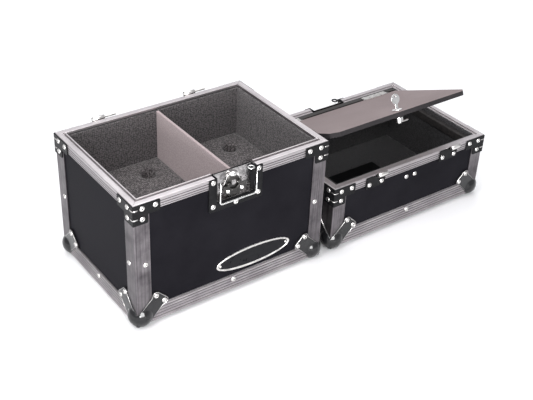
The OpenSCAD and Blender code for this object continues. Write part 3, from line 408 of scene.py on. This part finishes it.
def stained_wood():
    finish, tree, shader = new_finish("stained_wood", Roughness=0.5, Specular_IOR_Level=0.35)
    fibres = noise_of(tree, place_of(tree, FIBRE_STRETCH), 1.0, detail=5.0)
    tone = two_tone(tree, between(tree, fibres, 0, 1), (0.018, 0.016, 0.016), (0.045, 0.041, 0.040))
    tree.links.new(tone, shader.inputs["Base Color"])
    relief(tree, shader, fibres, FIBRE_DEPTH)
    return finish


def dusty_rubber():
    finish, tree, shader = new_finish("grip_rubber", Roughness=0.62, Specular_IOR_Level=0.35)
    place = place_of(tree)
    dust = noise_of(tree, place, DUST_PER_METRE, detail=5.0)
    tone = two_tone(tree, between(tree, dust, 0, 1), (0.013, 0.013, 0.013), (0.026, 0.025, 0.025))
    tree.links.new(tone, shader.inputs["Base Color"])
    relief(tree, shader, noise_of(tree, place, PORES_PER_METRE, detail=2.0), PORE_DEPTH)
    return finish


WOOD = stained_wood()
RUBBER = dusty_rubber()
print("materials so far:", len(bpy.data.materials))

# %% [markdown]
# The floor is a wide pale sheet, so that the case casts its soft shadow on something. It is staging
# and not part of the case. A bare colour would do, but faint noise keeps it from looking drawn.

# %% Floor
FLOOR_HALF = 9.0


def pale_floor():
    finish, tree, shader = new_finish("floor_paper", Roughness=0.85, Specular_IOR_Level=0.2)
    fleck = noise_of(tree, place_of(tree), 3.0)
    tone = two_tone(tree, between(tree, fleck, 0, 1), (0.90, 0.90, 0.91), (0.92, 0.92, 0.93))
    tree.links.new(tone, shader.inputs["Base Color"])
    corners = [(x * FLOOR_HALF, y * FLOOR_HALF, 0) for x, y in ((-1, -1), (1, -1), (1, 1), (-1, 1))]
    sheet = bpy.data.meshes.new("floor")
    sheet.from_pydata(corners, [], [(0, 1, 2, 3)])
    sheet.materials.append(finish)
    floor = bpy.data.objects.new("floor", sheet)
    bpy.context.scene.collection.objects.link(floor)
    return floor


print("staging:", pale_floor().name)

# %% [markdown]
# Machined and folded metal never has a perfectly sharp edge, and that thin bright line is what makes
# it read as metal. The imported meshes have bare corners, so a visible piece gets a chain of
# modifiers: weld, join flat faces, bevel, and normals weighted by area. Modelling every edge by hand
# would give the same result for much more code. The panels and the base angles stay as they are: a
# panel's edges lie under metal, and the ridges of a base angle are too close together for a bevel.

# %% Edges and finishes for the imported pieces
WELD_WITHIN = 2e-6
BEVEL_FROM = math.radians(30)
FLAT_WITHIN = math.radians(1)


def round_edges(piece, width, steps=2):
    for face in piece.data.polygons:
        face.use_smooth = True
    piece.modifiers.new("weld", "WELD").merge_threshold = WELD_WITHIN
    flat = piece.modifiers.new("flat", "DECIMATE")
    flat.decimate_type = "DISSOLVE"
    flat.angle_limit = FLAT_WITHIN
    bevel = piece.modifiers.new("bevel", "BEVEL")
    bevel.width = width
    bevel.segments = steps
    bevel.angle_limit = BEVEL_FROM
    bevel.use_clamp_overlap = False
    piece.modifiers.new("normals", "WEIGHTED_NORMAL").keep_sharp = True


def dress(node, finish, width=0.0):
    """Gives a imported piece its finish, and rounds its edges where a width is given."""
    piece = frame["nodes"][node]
    for slot in piece.material_slots:
        slot.link = "OBJECT"
        slot.material = finish
    if width:
        round_edges(piece, width)


for box, level in (("case", "bottom"), ("lid", "top")):
    dress(box + "_rim", RIM_METAL, 0.0004)
    dress(box + "_base_angles", BASE_METAL)
    dress(box + "_corner_angles", SHADED_ANGLE_METAL, 0.0003)
    dress(box + "_corner_braces", BLACK_STEEL, 0.0004)
    dress(box + "_hinge_leaves", BLACK_STEEL, 0.0003)
    for side in ("front", "back", "left", "right", level):
        dress(box + "_" + side + "_panel", LAMINATE)
    print(box, "walls and edge metal dressed")

# %% [markdown]
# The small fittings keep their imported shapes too: the latch's plates, the keeper, the cover's hinges,
# the lock and its key, the rail and the cleats, and the handle's dish and bail. A table of finishes
# and edge widths is easier to read and change than a call for each.

# %% Small fittings
FITTINGS = (
    ("latch_dish", BLACK_STEEL, 0.0005),
    ("keeper_dish", BLACK_STEEL, 0.0005),
    ("handle_dish", BLACK_STEEL, 0.0006),
    ("latch_base", DISH_NICKEL, 0.0003),
    ("latch_hook", NICKEL, 0.0005),
    ("latch_rotor", DARK_ZINC, 0.0003),
    ("latch_wing", DARK_ZINC, 0.0005),
    ("latch_wing_pins", ZINC, 0.0002),
    ("keeper_plate", ZINC, 0.0003),
    ("case_hinge_pins", ZINC, 0.0003),
    ("strike_bracket", ZINC, 0.0002),
    ("cover_hinge_fixed_leaves", ZINC, 0.0002),
    ("cover_hinge_moving_leaves", ZINC, 0.0002),
    ("cover_hinge_pins", ZINC, 0.0002),
    ("lock_body", NICKEL, 0.0005),
    ("lock_nut", DARK_ZINC, 0.0004),
    ("lock_plug", NICKEL, 0.0003),
    ("lock_cam", ZINC, 0.0003),
    ("lock_key", NICKEL, 0.0004),
    ("hinge_rail", WOOD, 0.0008),
    ("cover_cleats", WOOD, 0.0008),
    ("handle_bail", ZINC, 0.0001),
)
for node, finish, width in FITTINGS:
    dress(node, finish, width)
print("fittings dressed:", len(FITTINGS))

# %% [markdown]
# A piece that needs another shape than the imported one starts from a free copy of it, or from points.
# These helpers serve all of them: one copies and welds, one makes an object, two say what body the
# piece rides on and what it stands for, one finds the separate islands of a mesh, such as the single
# rivets of a box, and one applies the modifiers.

# %% Helpers for new pieces
def welded(node):
    mesh = bmesh.new()
    mesh.from_mesh(frame["nodes"][node].data)
    bmesh.ops.remove_doubles(mesh, verts=mesh.verts, dist=WELD_WITHIN)
    for face in mesh.faces:
        face.smooth = True
    return mesh


def new_piece(name, mesh, *finishes):
    data = bpy.data.meshes.new(name)
    mesh.to_mesh(data)
    mesh.free()
    for finish in finishes:
        data.materials.append(finish)
    piece = bpy.data.objects.new(name, data)
    bpy.context.scene.collection.objects.link(piece)
    return piece


def rides_by(piece, node):
    """The piece is added to a packed one, and moves with it."""
    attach(piece, home[node])
    return piece


def stands_for(piece, node):
    """The piece takes the place of a packed one."""
    rides_by(piece, node)
    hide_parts(node)
    return piece


def islands(mesh):
    left, found = set(mesh.verts), []
    while left:
        todo, island = [left.pop()], []
        while todo:
            vert = todo.pop()
            island.append(vert)
            for edge in vert.link_edges:
                other = edge.other_vert(vert)
                if other in left:
                    left.remove(other)
                    todo.append(other)
        found.append(island)
    return found


def settle(piece):
    """Applies the modifiers."""
    seen = piece.evaluated_get(bpy.context.evaluated_depsgraph_get())
    made = bpy.data.meshes.new_from_object(seen)
    piece.modifiers.clear()
    piece.data = made
    return piece


print("bodies that a piece can ride on:", sorted(set(home.values())))

# %% [markdown]
# Turned, drawn and bent shapes are all rings of points with a skin between them. Blender's spin and
# curve tools can make them as well, but with the rings in hand every one keeps its own size, and
# single rows can get another material.

# %% Rings and skins
def turned(sides):
    """The cosine and sine of each corner of a ring."""
    angles = [2 * math.pi * k / sides for k in range(sides)]
    return [(math.cos(angle), math.sin(angle)) for angle in angles]


def skin(mesh, rings, closed=False):
    """Joins each ring to the next, and gives back the faces row by row."""
    rows = []
    for n in range(len(rings) if closed else len(rings) - 1):
        one, two = rings[n], rings[(n + 1) % len(rings)]
        row = []
        for k in range(len(one)):
            after = (k + 1) % len(one)
            row.append(mesh.faces.new((one[k], one[after], two[after], two[k])))
        for face in row:
            face.smooth = True
        rows.append(row)
    return rows


def turn_profile(mesh, profile, base, way, radius, height, sides, marked_from=None):
    """Turns shares of a radius and a height round an axis. Rows from the mark on get slot 1."""
    turn = way.to_track_quat("Z", "Y").to_matrix()
    rings = []
    for r, z in profile:
        rings.append([mesh.verts.new(base + turn @ Vector((radius * r * c, radius * r * s, height * z)))
            for c, s in turned(sides)])
    rows = skin(mesh, rings)
    rows.append([mesh.faces.new(rings[-1])])
    if marked_from is not None:
        for row in rows[marked_from:]:
            for face in row:
                face.material_index = 1


print("a ring of four:", [(round(c), round(s)) for c, s in turned(4)])

# %% [markdown]
# The rivets are domed heads with a small dimple left by the setting tool, and the inside of the dimple
# is given a dark colour as painted shade. Every packed rivet is one island: its short way is its axis,
# and its widest ring is the foot of the head. A profile is turned round that axis. Linked copies of one
# head would do as well, but one mesh for each imported piece is simpler to handle.

# %% Rivet heads
DOME = ((1.0, 0.0), (0.985, 0.16), (0.93, 0.36), (0.82, 0.58), (0.66, 0.80), (0.52, 0.94), (0.42, 1.0),
    (0.36, 0.985), (0.31, 0.86), (0.26, 0.62), (0.16, 0.52))
DOME_SIDES = 20
# The rows of the dome from here on line the dimple and take its painted shade.
DIMPLE_SHADE_FROM = 8
WIDEST_SHARE = 0.93


def head_of(island, middle):
    """Foot, direction, radius and height of a head. It looks away from the middle of its box."""
    low = Vector([min(vert.co[i] for vert in island) for i in range(3)])
    high = Vector([max(vert.co[i] for vert in island) for i in range(3)])
    size = high - low
    axis = min(range(3), key=lambda i: size[i])
    centre = (low + high) / 2
    radius = max(size) / 2
    widest = []
    for vert in island:
        off_axis = Vector([0 if i == axis else vert.co[i] - centre[i] for i in range(3)])
        if off_axis.length > WIDEST_SHARE * radius:
            widest.append(vert.co[axis])
    foot = sum(widest) / len(widest)
    outwards = 1 if foot > middle[axis] else -1
    tip = high[axis] if outwards > 0 else low[axis]
    way = Vector([outwards if i == axis else 0 for i in range(3)])
    base = Vector([foot if i == axis else centre[i] for i in range(3)])
    return base, way, radius, abs(tip - foot)


def rivet_heads(node, box):
    mesh, packed = bmesh.new(), welded(node)
    middle = sum(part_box(box + "_rim"), Vector()) / 2
    heads = [head_of(island, middle) for island in islands(packed)]
    for base, way, radius, height in heads:
        turn_profile(mesh, DOME, base, way, radius, height, DOME_SIDES, DIMPLE_SHADE_FROM)
    packed.free()
    # The second slot, inside the dimple, is painted shade.
    stands_for(new_piece(node + "_heads", mesh, ZINC, DIMPLE_SHADE), node)
    print(node, len(heads), "heads of radius", round(heads[0][2] * 1000, 2), "mm")


rivet_heads("case_rivets", "case")
rivet_heads("lid_rivets", "lid")
rivet_heads("name_plate_rivets", "case")

# %% [markdown]
# Ball corners are deep-drawn: the ball flows into three ears, and no edge is crisp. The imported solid
# is a ball with three flat plates, so it is turned into voxels of under a millimetre, which fuses
# them, then smoothed and thinned out. A subdivision cage would need a hand-made layout for the same
# soft blends.

# %% Ball corners
BALL_VOXEL, BALL_PASSES, BALL_KEEP = 0.0009, 3, 0.3


def melted(piece, voxel, passes, keep=1.0):
    remesh = piece.modifiers.new("voxels", "REMESH")
    remesh.mode = "VOXEL"
    remesh.voxel_size = voxel
    remesh.use_smooth_shade = True
    smooth = piece.modifiers.new("smooth", "SMOOTH")
    smooth.factor = 0.5
    smooth.iterations = passes
    if keep < 1:
        piece.modifiers.new("thin", "DECIMATE").ratio = keep
    return settle(piece)


for box in ("case", "lid"):
    node = box + "_ball_corners"
    corners = new_piece(box + "_drawn_corners", welded(node), BALL_STEEL)
    melted(corners, BALL_VOXEL, BALL_PASSES, BALL_KEEP)
    stands_for(corners, node)
    print(node, len(corners.data.polygons), "faces")

# %% [markdown]
# Ribs, beads, lips and springs are all a round bar along some line. A curve with a bevel depth gives
# that too, but then each would have to be turned into a mesh, and its ends narrowed by hand. This
# helper sweeps a ring along the points instead.

# %% Bars along a line
END_SHARE = 0.35


def sweep(mesh, path, radius, sides=8, closed=False, ends=END_SHARE):
    """A bar along the points of a path, narrower at its ends by the given share."""
    rings, count = [], len(path)
    for n, point in enumerate(path):
        before = path[n - 1] if closed or n else point
        after = path[(n + 1) % count] if closed or n < count - 1 else point
        turn = (after - before).to_track_quat("Z", "Y").to_matrix()
        at_end = not closed and n in (0, count - 1)
        size = radius * (ends if at_end else 1)
        rings.append([mesh.verts.new(point + turn @ Vector((size * c, size * s, 0)))
            for c, s in turned(sides)])
    skin(mesh, rings, closed)
    if not closed:
        mesh.faces.new(rings[0][::-1])
        mesh.faces.new(rings[-1])


print("the end of a bar has", END_SHARE, "of its thickness")

# %% [markdown]
# Each brace has two ribs pressed round its corner, which stiffen it and catch the light as two small
# chevrons. The ribs are coloured bright metal, a painted highlight on the black lacquer. A rib is a
# half-sunk bar that follows the fold, along seven points that round the bend.
# Pressing it into the brace's mesh would need a far finer mesh.

# %% Ribs of the corner braces
RIB_DROPS = (0.0085, 0.0255)
RIB_R, RIB_REACH, RIB_BEND, RIB_TUCK = 0.0011, 0.0095, 0.0022, 0.0007
RIB_TAPER_SHARE = 0.8


def chevrons(box):
    low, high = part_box(box + "_corner_braces")
    mesh = bmesh.new()
    for x, along_x in ((low.x, Vector((1, 0, 0))), (high.x, Vector((-1, 0, 0)))):
        for y, along_y in ((low.y, Vector((0, 1, 0))), (high.y, Vector((0, -1, 0)))):
            for drop in RIB_DROPS:
                fold = Vector((x, y, high.z)) - Vector((0, 0, drop))
                path = [fold + along_x * RIB_REACH, fold + along_x * RIB_REACH * RIB_TAPER_SHARE,
                    fold + along_x * RIB_BEND, fold + (along_x + along_y) * RIB_TUCK,
                    fold + along_y * RIB_BEND, fold + along_y * RIB_REACH * RIB_TAPER_SHARE,
                    fold + along_y * RIB_REACH]
                sweep(mesh, path, RIB_R)
    # The ribs' bright colour is a painted highlight.
    return rides_by(new_piece(box + "_brace_ribs", mesh, PAINTED_GLINT), box + "_corner_braces")


for box in ("case", "lid"):
    print(chevrons(box).name)

# %% [markdown]
# Each ear of a ball corner has a bead pressed along its outline, coloured bright metal as a painted
# highlight on the black lacquer. The bead is drawn flat, along and across the ear, from the ball round
# the two lobes and back. Every corner then stands that line up on its two sides, at 45 degrees, and the
# ears underneath stay plain. Pressing the bead into the ear's own mesh would need a finer mesh than the
# ear has.

# %% Beads of the ears
EAR_W, EAR_REACH, EAR_PITCH, LOBE_R = 0.031, 0.062, 0.021, 0.008
EAR_T, BALL_END = 0.0015, 0.027
BEAD_IN, BEAD_R = 0.0013, 0.0006
LOBE_TURN, LOBE_STEPS = 130, 10
DIAGONAL = math.sqrt(0.5)


def ear_line():
    """The bead's points on the flat ear, as pairs: along it and across it."""
    r = LOBE_R - BEAD_IN
    half = [(BALL_END, EAR_W / 2 - BEAD_IN), (EAR_REACH - LOBE_R, EAR_W / 2 - BEAD_IN)]
    for k in range(LOBE_STEPS + 1):
        a = math.radians(LOBE_TURN * (1 - k / LOBE_STEPS))
        half.append((EAR_REACH + r * math.cos(a), EAR_PITCH / 2 + r * math.sin(a)))
    return half + [(along, -across) for along, across in reversed(half)]


def ear_beads(box):
    low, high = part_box(box + "_base_angles")
    mesh, up = bmesh.new(), Vector((0, 0, 1))
    for sx in (-1, 1):
        for sy in (-1, 1):
            corner = Vector((high.x if sx > 0 else low.x, high.y if sy > 0 else low.y, low.z))
            on_long_side = (Vector((-sx, 0, 0)), Vector((0, sy, 0)))
            on_short_side = (Vector((0, -sy, 0)), Vector((sx, 0, 0)))
            for inwards, out in (on_long_side, on_short_side):
                path = [corner + inwards * DIAGONAL * (along - across)
                    + up * DIAGONAL * (along + across) + out * EAR_T for along, across in ear_line()]
                sweep(mesh, path, BEAD_R)
    # The beads' bright colour is a painted highlight.
    return rides_by(new_piece(box + "_ear_beads", mesh, PAINTED_GLINT), box + "_ball_corners")


for box in ("case", "lid"):
    print(ear_beads(box).name)

# %% [markdown]
# The knuckles of the lift-off hinges are bright, while their leaves are lacquered. The knuckle's
# faces could get a second material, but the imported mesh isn't changed, so a thin zinc sleeve goes
# over each. The knuckle's axis is one barrel radius inside the box of the leaves, and its length is
# that of the points round this axis.

# %% Bright knuckles
BARREL_R, SLEEVE_T, SLEEVE_SIDES = 0.004, 0.00006, 24
SLEEVE_END, SLEEVE_END_SHARE = 0.0003, 0.9
ON_BARREL = 0.0001


def bright_knuckles(box, facing):
    low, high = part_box(box + "_hinge_leaves")
    axis_y = low.y + BARREL_R if facing < 0 else high.y - BARREL_R
    axis_z = high.z - BARREL_R
    mesh, packed = bmesh.new(), welded(box + "_hinge_leaves")
    for island in islands(packed):
        xs = [vert.co.x for vert in island
            if abs(math.hypot(vert.co.y - axis_y, vert.co.z - axis_z) - BARREL_R) < ON_BARREL]
        start, end = min(xs), max(xs)
        path = [Vector((x, axis_y, axis_z)) for x in (start, start + SLEEVE_END, end - SLEEVE_END, end)]
        sweep(mesh, path, BARREL_R + SLEEVE_T, SLEEVE_SIDES, ends=SLEEVE_END_SHARE)
    packed.free()
    return rides_by(new_piece(box + "_bright_knuckles", mesh, ZINC), box + "_hinge_leaves")


print(bright_knuckles("case", 1).name, bright_knuckles("lid", -1).name)

# %% [markdown]
# The linings are sheets of soft foam glued to the wood. Their cut edges are slightly rounded. They
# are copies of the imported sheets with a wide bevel, and the foam finish does the rest. A cloth
# simulation would change nothing on a sheet that is glued flat. The padded divider is the same, with
# a rounder top.

# %% Linings and divider
SHEET_FILL, SHEET_STEPS = 0.9, 4


def soft_sheet(node, name, finish, edge):
    piece = new_piece(name, welded(node), finish)
    round_edges(piece, edge, SHEET_STEPS)
    settle(piece)
    stands_for(piece, node)
    print(name, len(piece.data.polygons), "faces")


soft_sheet("case_wall_lining", "case_foam_sheets", WALL_FOAM, 0.0014)
soft_sheet("lid_wall_lining", "lid_foam_sheets", LID_FOAM, 0.0014)
soft_sheet("lid_floor_lining", "lid_foam_floor", LID_FOAM, 0.0010)
soft_sheet("foam_base_sheets", "foam_underlay", BLOCK_FOAM, 0.0015)
soft_sheet("divider", "padded_divider", DIVIDER_FOAM, 0.0020)

# %% [markdown]
# The foam in the two compartments is a thick soft block with drilled sockets. Drilling foam leaves
# soft lips, and the top is never quite level. Voxels and a few passes of smoothing round the lips,
# and a slow noise then presses the surface in by up to half a millimetre. A cloth simulation would
# add nothing here, because the block is held on all sides.

# %% Foam blocks
BLOCK_VOXEL, BLOCK_PASSES, BLOCK_FILL = 0.0024, 3, 0.95
DENT_DEPTH, DENTS_PER_METRE = 0.0005, 60.0


def uneven(piece):
    mesh = bmesh.new()
    mesh.from_mesh(piece.data)
    for vert in mesh.verts:
        vert.co -= vert.normal * DENT_DEPTH * (0.5 + 0.5 * noise.noise(vert.co * DENTS_PER_METRE))
    mesh.to_mesh(piece.data)
    mesh.free()


for side in ("left", "right"):
    node = "microphone_foam_" + side
    block = new_piece("drilled_foam_" + side, welded(node), BLOCK_FOAM)
    melted(block, BLOCK_VOXEL, BLOCK_PASSES)
    uneven(block)
    stands_for(block, node)
    print(block.name, len(block.data.polygons), "faces")

# %% [markdown]
# The cover is a board with grey laminate on both faces and a dark band along its edges. Two boards
# and a frame would be more pieces than the real one has, so a copy of the board gets the band as a
# second material, on every face that isn't level with the board.

# %% Cover board
LEVEL_SHARE = 0.9
BOARD_EDGE, BOARD_STEPS = 0.0006, 3


def edged_board():
    mesh = welded("cover_board")
    bmesh.ops.dissolve_limit(mesh, angle_limit=FLAT_WITHIN, verts=mesh.verts, edges=mesh.edges)
    mesh.normal_update()
    up = max(mesh.faces, key=lambda face: face.calc_area()).normal.copy()
    for face in mesh.faces:
        face.material_index = 0 if abs(face.normal.dot(up)) > LEVEL_SHARE else 1
    piece = new_piece("edged_cover", mesh, COVER_GREY, COVER_EDGE)
    round_edges(piece, BOARD_EDGE, BOARD_STEPS)
    return stands_for(settle(piece), "cover_board")


print(edged_board().name)

# %% [markdown]
# The oval plate is domed enamel in a bright pressed border, and it is bare. Scaled copies of one
# ring would make the border wider at the ends than at the sides, so each ring of the profile is an
# oval at a fixed distance inside the edge.

# %% Oval plate
PLATE_RINGS = ((0.0, 0.0), (0.0, 0.0011), (0.0002, 0.0016), (0.0007, 0.0019), (0.0024, 0.0019),
    (0.0029, 0.0017), (0.0033, 0.0013), (0.0042, 0.0012), (0.0090, 0.0013), (0.0150, 0.0014))
PLATE_SIDES = 120
ENAMEL_FROM = 7


def oval_plate():
    low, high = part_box("name_plate")
    centre, half_w, half_h = (low + high) / 2, (high.x - low.x) / 2, (high.z - low.z) / 2
    mesh, rings = bmesh.new(), []
    for inwards, out in PLATE_RINGS:
        rings.append([mesh.verts.new((centre.x + (half_w - inwards) * c, high.y - out,
            centre.z + (half_h - inwards) * s)) for c, s in turned(PLATE_SIDES)])
    rows = skin(mesh, rings)
    rows.append([mesh.faces.new(rings[-1])])
    for row in rows[ENAMEL_FROM:]:
        for face in row:
            face.material_index = 1
    return stands_for(new_piece("bare_oval_plate", mesh, ZINC, ENAMEL), "name_plate")


print(oval_plate().name)

# %% [markdown]
# The opening of the latch's dish, and that of the keeper's, has a bright rolled lip on three sides.
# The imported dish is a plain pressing, so the lip is a bar that follows the opening, with its two
# lower corners rounded.

# %% Lips of the dishes
DISH_HALF, DISH_DROP = 0.037, 0.049
LIP_R, LIP_BEND, LIP_TOP, LIP_OUT = 0.0014, 0.005, 0.004, 0.0003
BEND_STEPS = 6


def rounded_path(points, radius):
    """A path through the points, with each inner bend rounded."""
    path = [points[0]]
    for before, bend, after in zip(points, points[1:], points[2:]):
        start = bend + (before - bend).normalized() * radius
        end = bend + (after - bend).normalized() * radius
        for k in range(BEND_STEPS + 1):
            t = k / BEND_STEPS
            path.append(start * (1 - t) ** 2 + bend * 2 * t * (1 - t) + end * t * t)
    return path + [points[-1]]


def rolled_lip(node, facing, neighbour):
    low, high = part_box(node)
    face = low.y if facing < 0 else high.y
    centre, top = (low.x + high.x) / 2, high.z
    half, foot = DISH_HALF - LIP_R, top - DISH_DROP + LIP_R
    corners = [Vector((centre + side * half, face + facing * LIP_OUT, z))
        for side, z in ((-1, top - LIP_TOP), (-1, foot), (1, foot), (1, top - LIP_TOP))]
    mesh = bmesh.new()
    sweep(mesh, rounded_path(corners, LIP_BEND), LIP_R)
    return rides_by(new_piece(node + "_lip", mesh, NICKEL), neighbour)


print(rolled_lip("latch_dish", -1, "latch_base").name)
print(rolled_lip("keeper_dish", 1, "keeper_plate").name)

# %% [markdown]
# The hook ends in a polished nose, a blunt dome that stands out over the wing. A scaled sphere would
# be too pointed, so the dome's rings narrow along a circle while it comes out a little faster.

# %% Nose of the hook
NOSE_HALF_W, NOSE_HALF_H, NOSE_OUT = 0.0080, 0.00396, 0.0060
NOSE_RINGS, NOSE_SIDES, NOSE_BLUNT = 10, 24, 0.8
HOOK_T = 0.0018


def hook_nose():
    low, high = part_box("latch_hook")
    centre = Vector(((low.x + high.x) / 2, high.y - HOOK_T, high.z - NOSE_HALF_H))
    mesh, rings = bmesh.new(), []
    for i in range(NOSE_RINGS + 1):
        b = math.pi / 2 * i / NOSE_RINGS
        out = NOSE_OUT * math.sin(b) ** NOSE_BLUNT
        rings.append([mesh.verts.new(centre + Vector((NOSE_HALF_W * math.cos(b) * c, -out,
            NOSE_HALF_H * math.cos(b) * s))) for c, s in turned(NOSE_SIDES)])
    skin(mesh, rings)
    bmesh.ops.remove_doubles(mesh, verts=mesh.verts, dist=1e-6)
    return rides_by(new_piece("hook_nose", mesh, NICKEL), "latch_hook")


print(hook_nose().name)

# %% [markdown]
# A padlock goes through a short tube at the latch's upper edge, and its mouth is worn bright. The
# tube itself is part of the dish, so only its rim is added: a closed ring, laid flat on the mouth.

# %% Ring of the padlock eye
EYE_X, EYE_OUT, EYE_R, EYE_BAND = 0.028, 0.0015, 0.0034, 0.0032
RING_SHARE, RING_STEPS, RING_SIDES = 0.7, 32, 10


def ring_path(centre, one, two, radius):
    return [centre + one * radius * c + two * radius * s for c, s in turned(RING_STEPS)]


def padlock_ring():
    low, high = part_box("latch_dish")
    rim_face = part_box("case_rim")[0].y
    centre = Vector(((low.x + high.x) / 2 + EYE_X, rim_face - EYE_OUT, high.z))
    mesh = bmesh.new()
    path = ring_path(centre, Vector((1, 0, 0)), Vector((0, 1, 0)), EYE_R + EYE_BAND / 2)
    sweep(mesh, path, EYE_BAND / 2 * RING_SHARE, RING_SIDES, closed=True)
    return rides_by(new_piece("padlock_ring", mesh, NICKEL), "latch_dish")


print(padlock_ring().name)

# %% [markdown]
# Two pressed dimples on the wing give the thumb a hold. On the real wing they are dents with a raised
# edge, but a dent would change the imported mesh. So each is a small raised ring with a shallow
# turned cup in it, which catches the light in the same way.

# %% Dimples of the wing
DIMPLE_X, DIMPLE_DROP, DIMPLE_OUT = 0.0135, 0.012, 0.0006
DIMPLE_R, DIMPLE_RING_R, DIMPLE_DEPTH = 0.0030, 0.0007, 0.0012
DIMPLE = ((1.0, 0.0), (0.8, -0.5), (0.4, -0.9), (0.1, -1.0))
DIMPLE_SIDES = 24


def wing_dimples():
    low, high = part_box("latch_wing")
    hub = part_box("latch_rotor")
    centre, hub_z = (low.x + high.x) / 2, (hub[0].z + hub[1].z) / 2
    mesh = bmesh.new()
    for side in (-1, 1):
        spot = Vector((centre + side * DIMPLE_X, low.y + DIMPLE_OUT, hub_z - DIMPLE_DROP))
        sweep(mesh, ring_path(spot, Vector((1, 0, 0)), Vector((0, 0, 1)), DIMPLE_R), DIMPLE_RING_R,
            closed=True)
        turn_profile(mesh, DIMPLE, spot, Vector((0, -1, 0)), DIMPLE_R, DIMPLE_DEPTH, DIMPLE_SIDES)
    return rides_by(new_piece("wing_dimples", mesh, NICKEL), "latch_wing")


print(wing_dimples().name)

# %% [markdown]
# The handle's return springs are wound wire, one round each end of the bail. A screw modifier could
# wind them, but a bar along a coil of points keeps the wire's true thickness.

# %% Springs of the handle
SPRING_TURNS, WIRE_R, STEPS_PER_TURN = 5, 0.00045, 24


def wound_springs():
    low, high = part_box("handle_springs")
    y, z = (low.y + high.y) / 2, (low.z + high.z) / 2
    radius = (high.z - low.z) / 2 - WIRE_R
    steps = STEPS_PER_TURN * SPRING_TURNS
    mesh, packed = bmesh.new(), welded("handle_springs")
    for island in islands(packed):
        xs = [vert.co.x for vert in island]
        start, end = min(xs) + WIRE_R, max(xs) - WIRE_R
        path = []
        for k in range(steps + 1):
            a = 2 * math.pi * SPRING_TURNS * k / steps
            path.append(Vector((start + (end - start) * k / steps, y + radius * math.cos(a),
                z + radius * math.sin(a))))
        sweep(mesh, path, WIRE_R)
    packed.free()
    return stands_for(new_piece("wound_springs", mesh, ZINC), "handle_springs")


print(wound_springs().name)

# %% [markdown]
# The grip is moulded rubber with finger grooves and rounded ends. It is turned from a wavy profile,
# which keeps the grooves smooth. Cutting them out of a plain bar would leave edges.

# %% Grip of the handle
GROOVES, GROOVE_SHARE = 4, 0.045
GRIP_STEPS, GRIP_SIDES = 64, 40
SHOULDER = 0.02
GRIP_START = [(0.5, 0.0), (0.86, 0.0), (0.97, 0.4 * SHOULDER), (1.0, SHOULDER)]
GRIP_END = [(r, 1 - z) for r, z in reversed(GRIP_START)]


def moulded_grip():
    low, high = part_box("handle_grip")
    profile = list(GRIP_START)
    for k in range(1, GRIP_STEPS):
        t = k / GRIP_STEPS
        r = 1 - GROOVE_SHARE + GROOVE_SHARE * math.cos(2 * math.pi * GROOVES * t)
        profile.append((r, SHOULDER + (1 - 2 * SHOULDER) * t))
    profile += GRIP_END
    mesh = bmesh.new()
    base = Vector((low.x, (low.y + high.y) / 2, (low.z + high.z) / 2))
    radius, length = (high.z - low.z) / 2, high.x - low.x
    turn_profile(mesh, profile, base, Vector((1, 0, 0)), radius, length, GRIP_SIDES)
    return stands_for(new_piece("moulded_grip", mesh, RUBBER), "handle_grip")


print(moulded_grip().name)
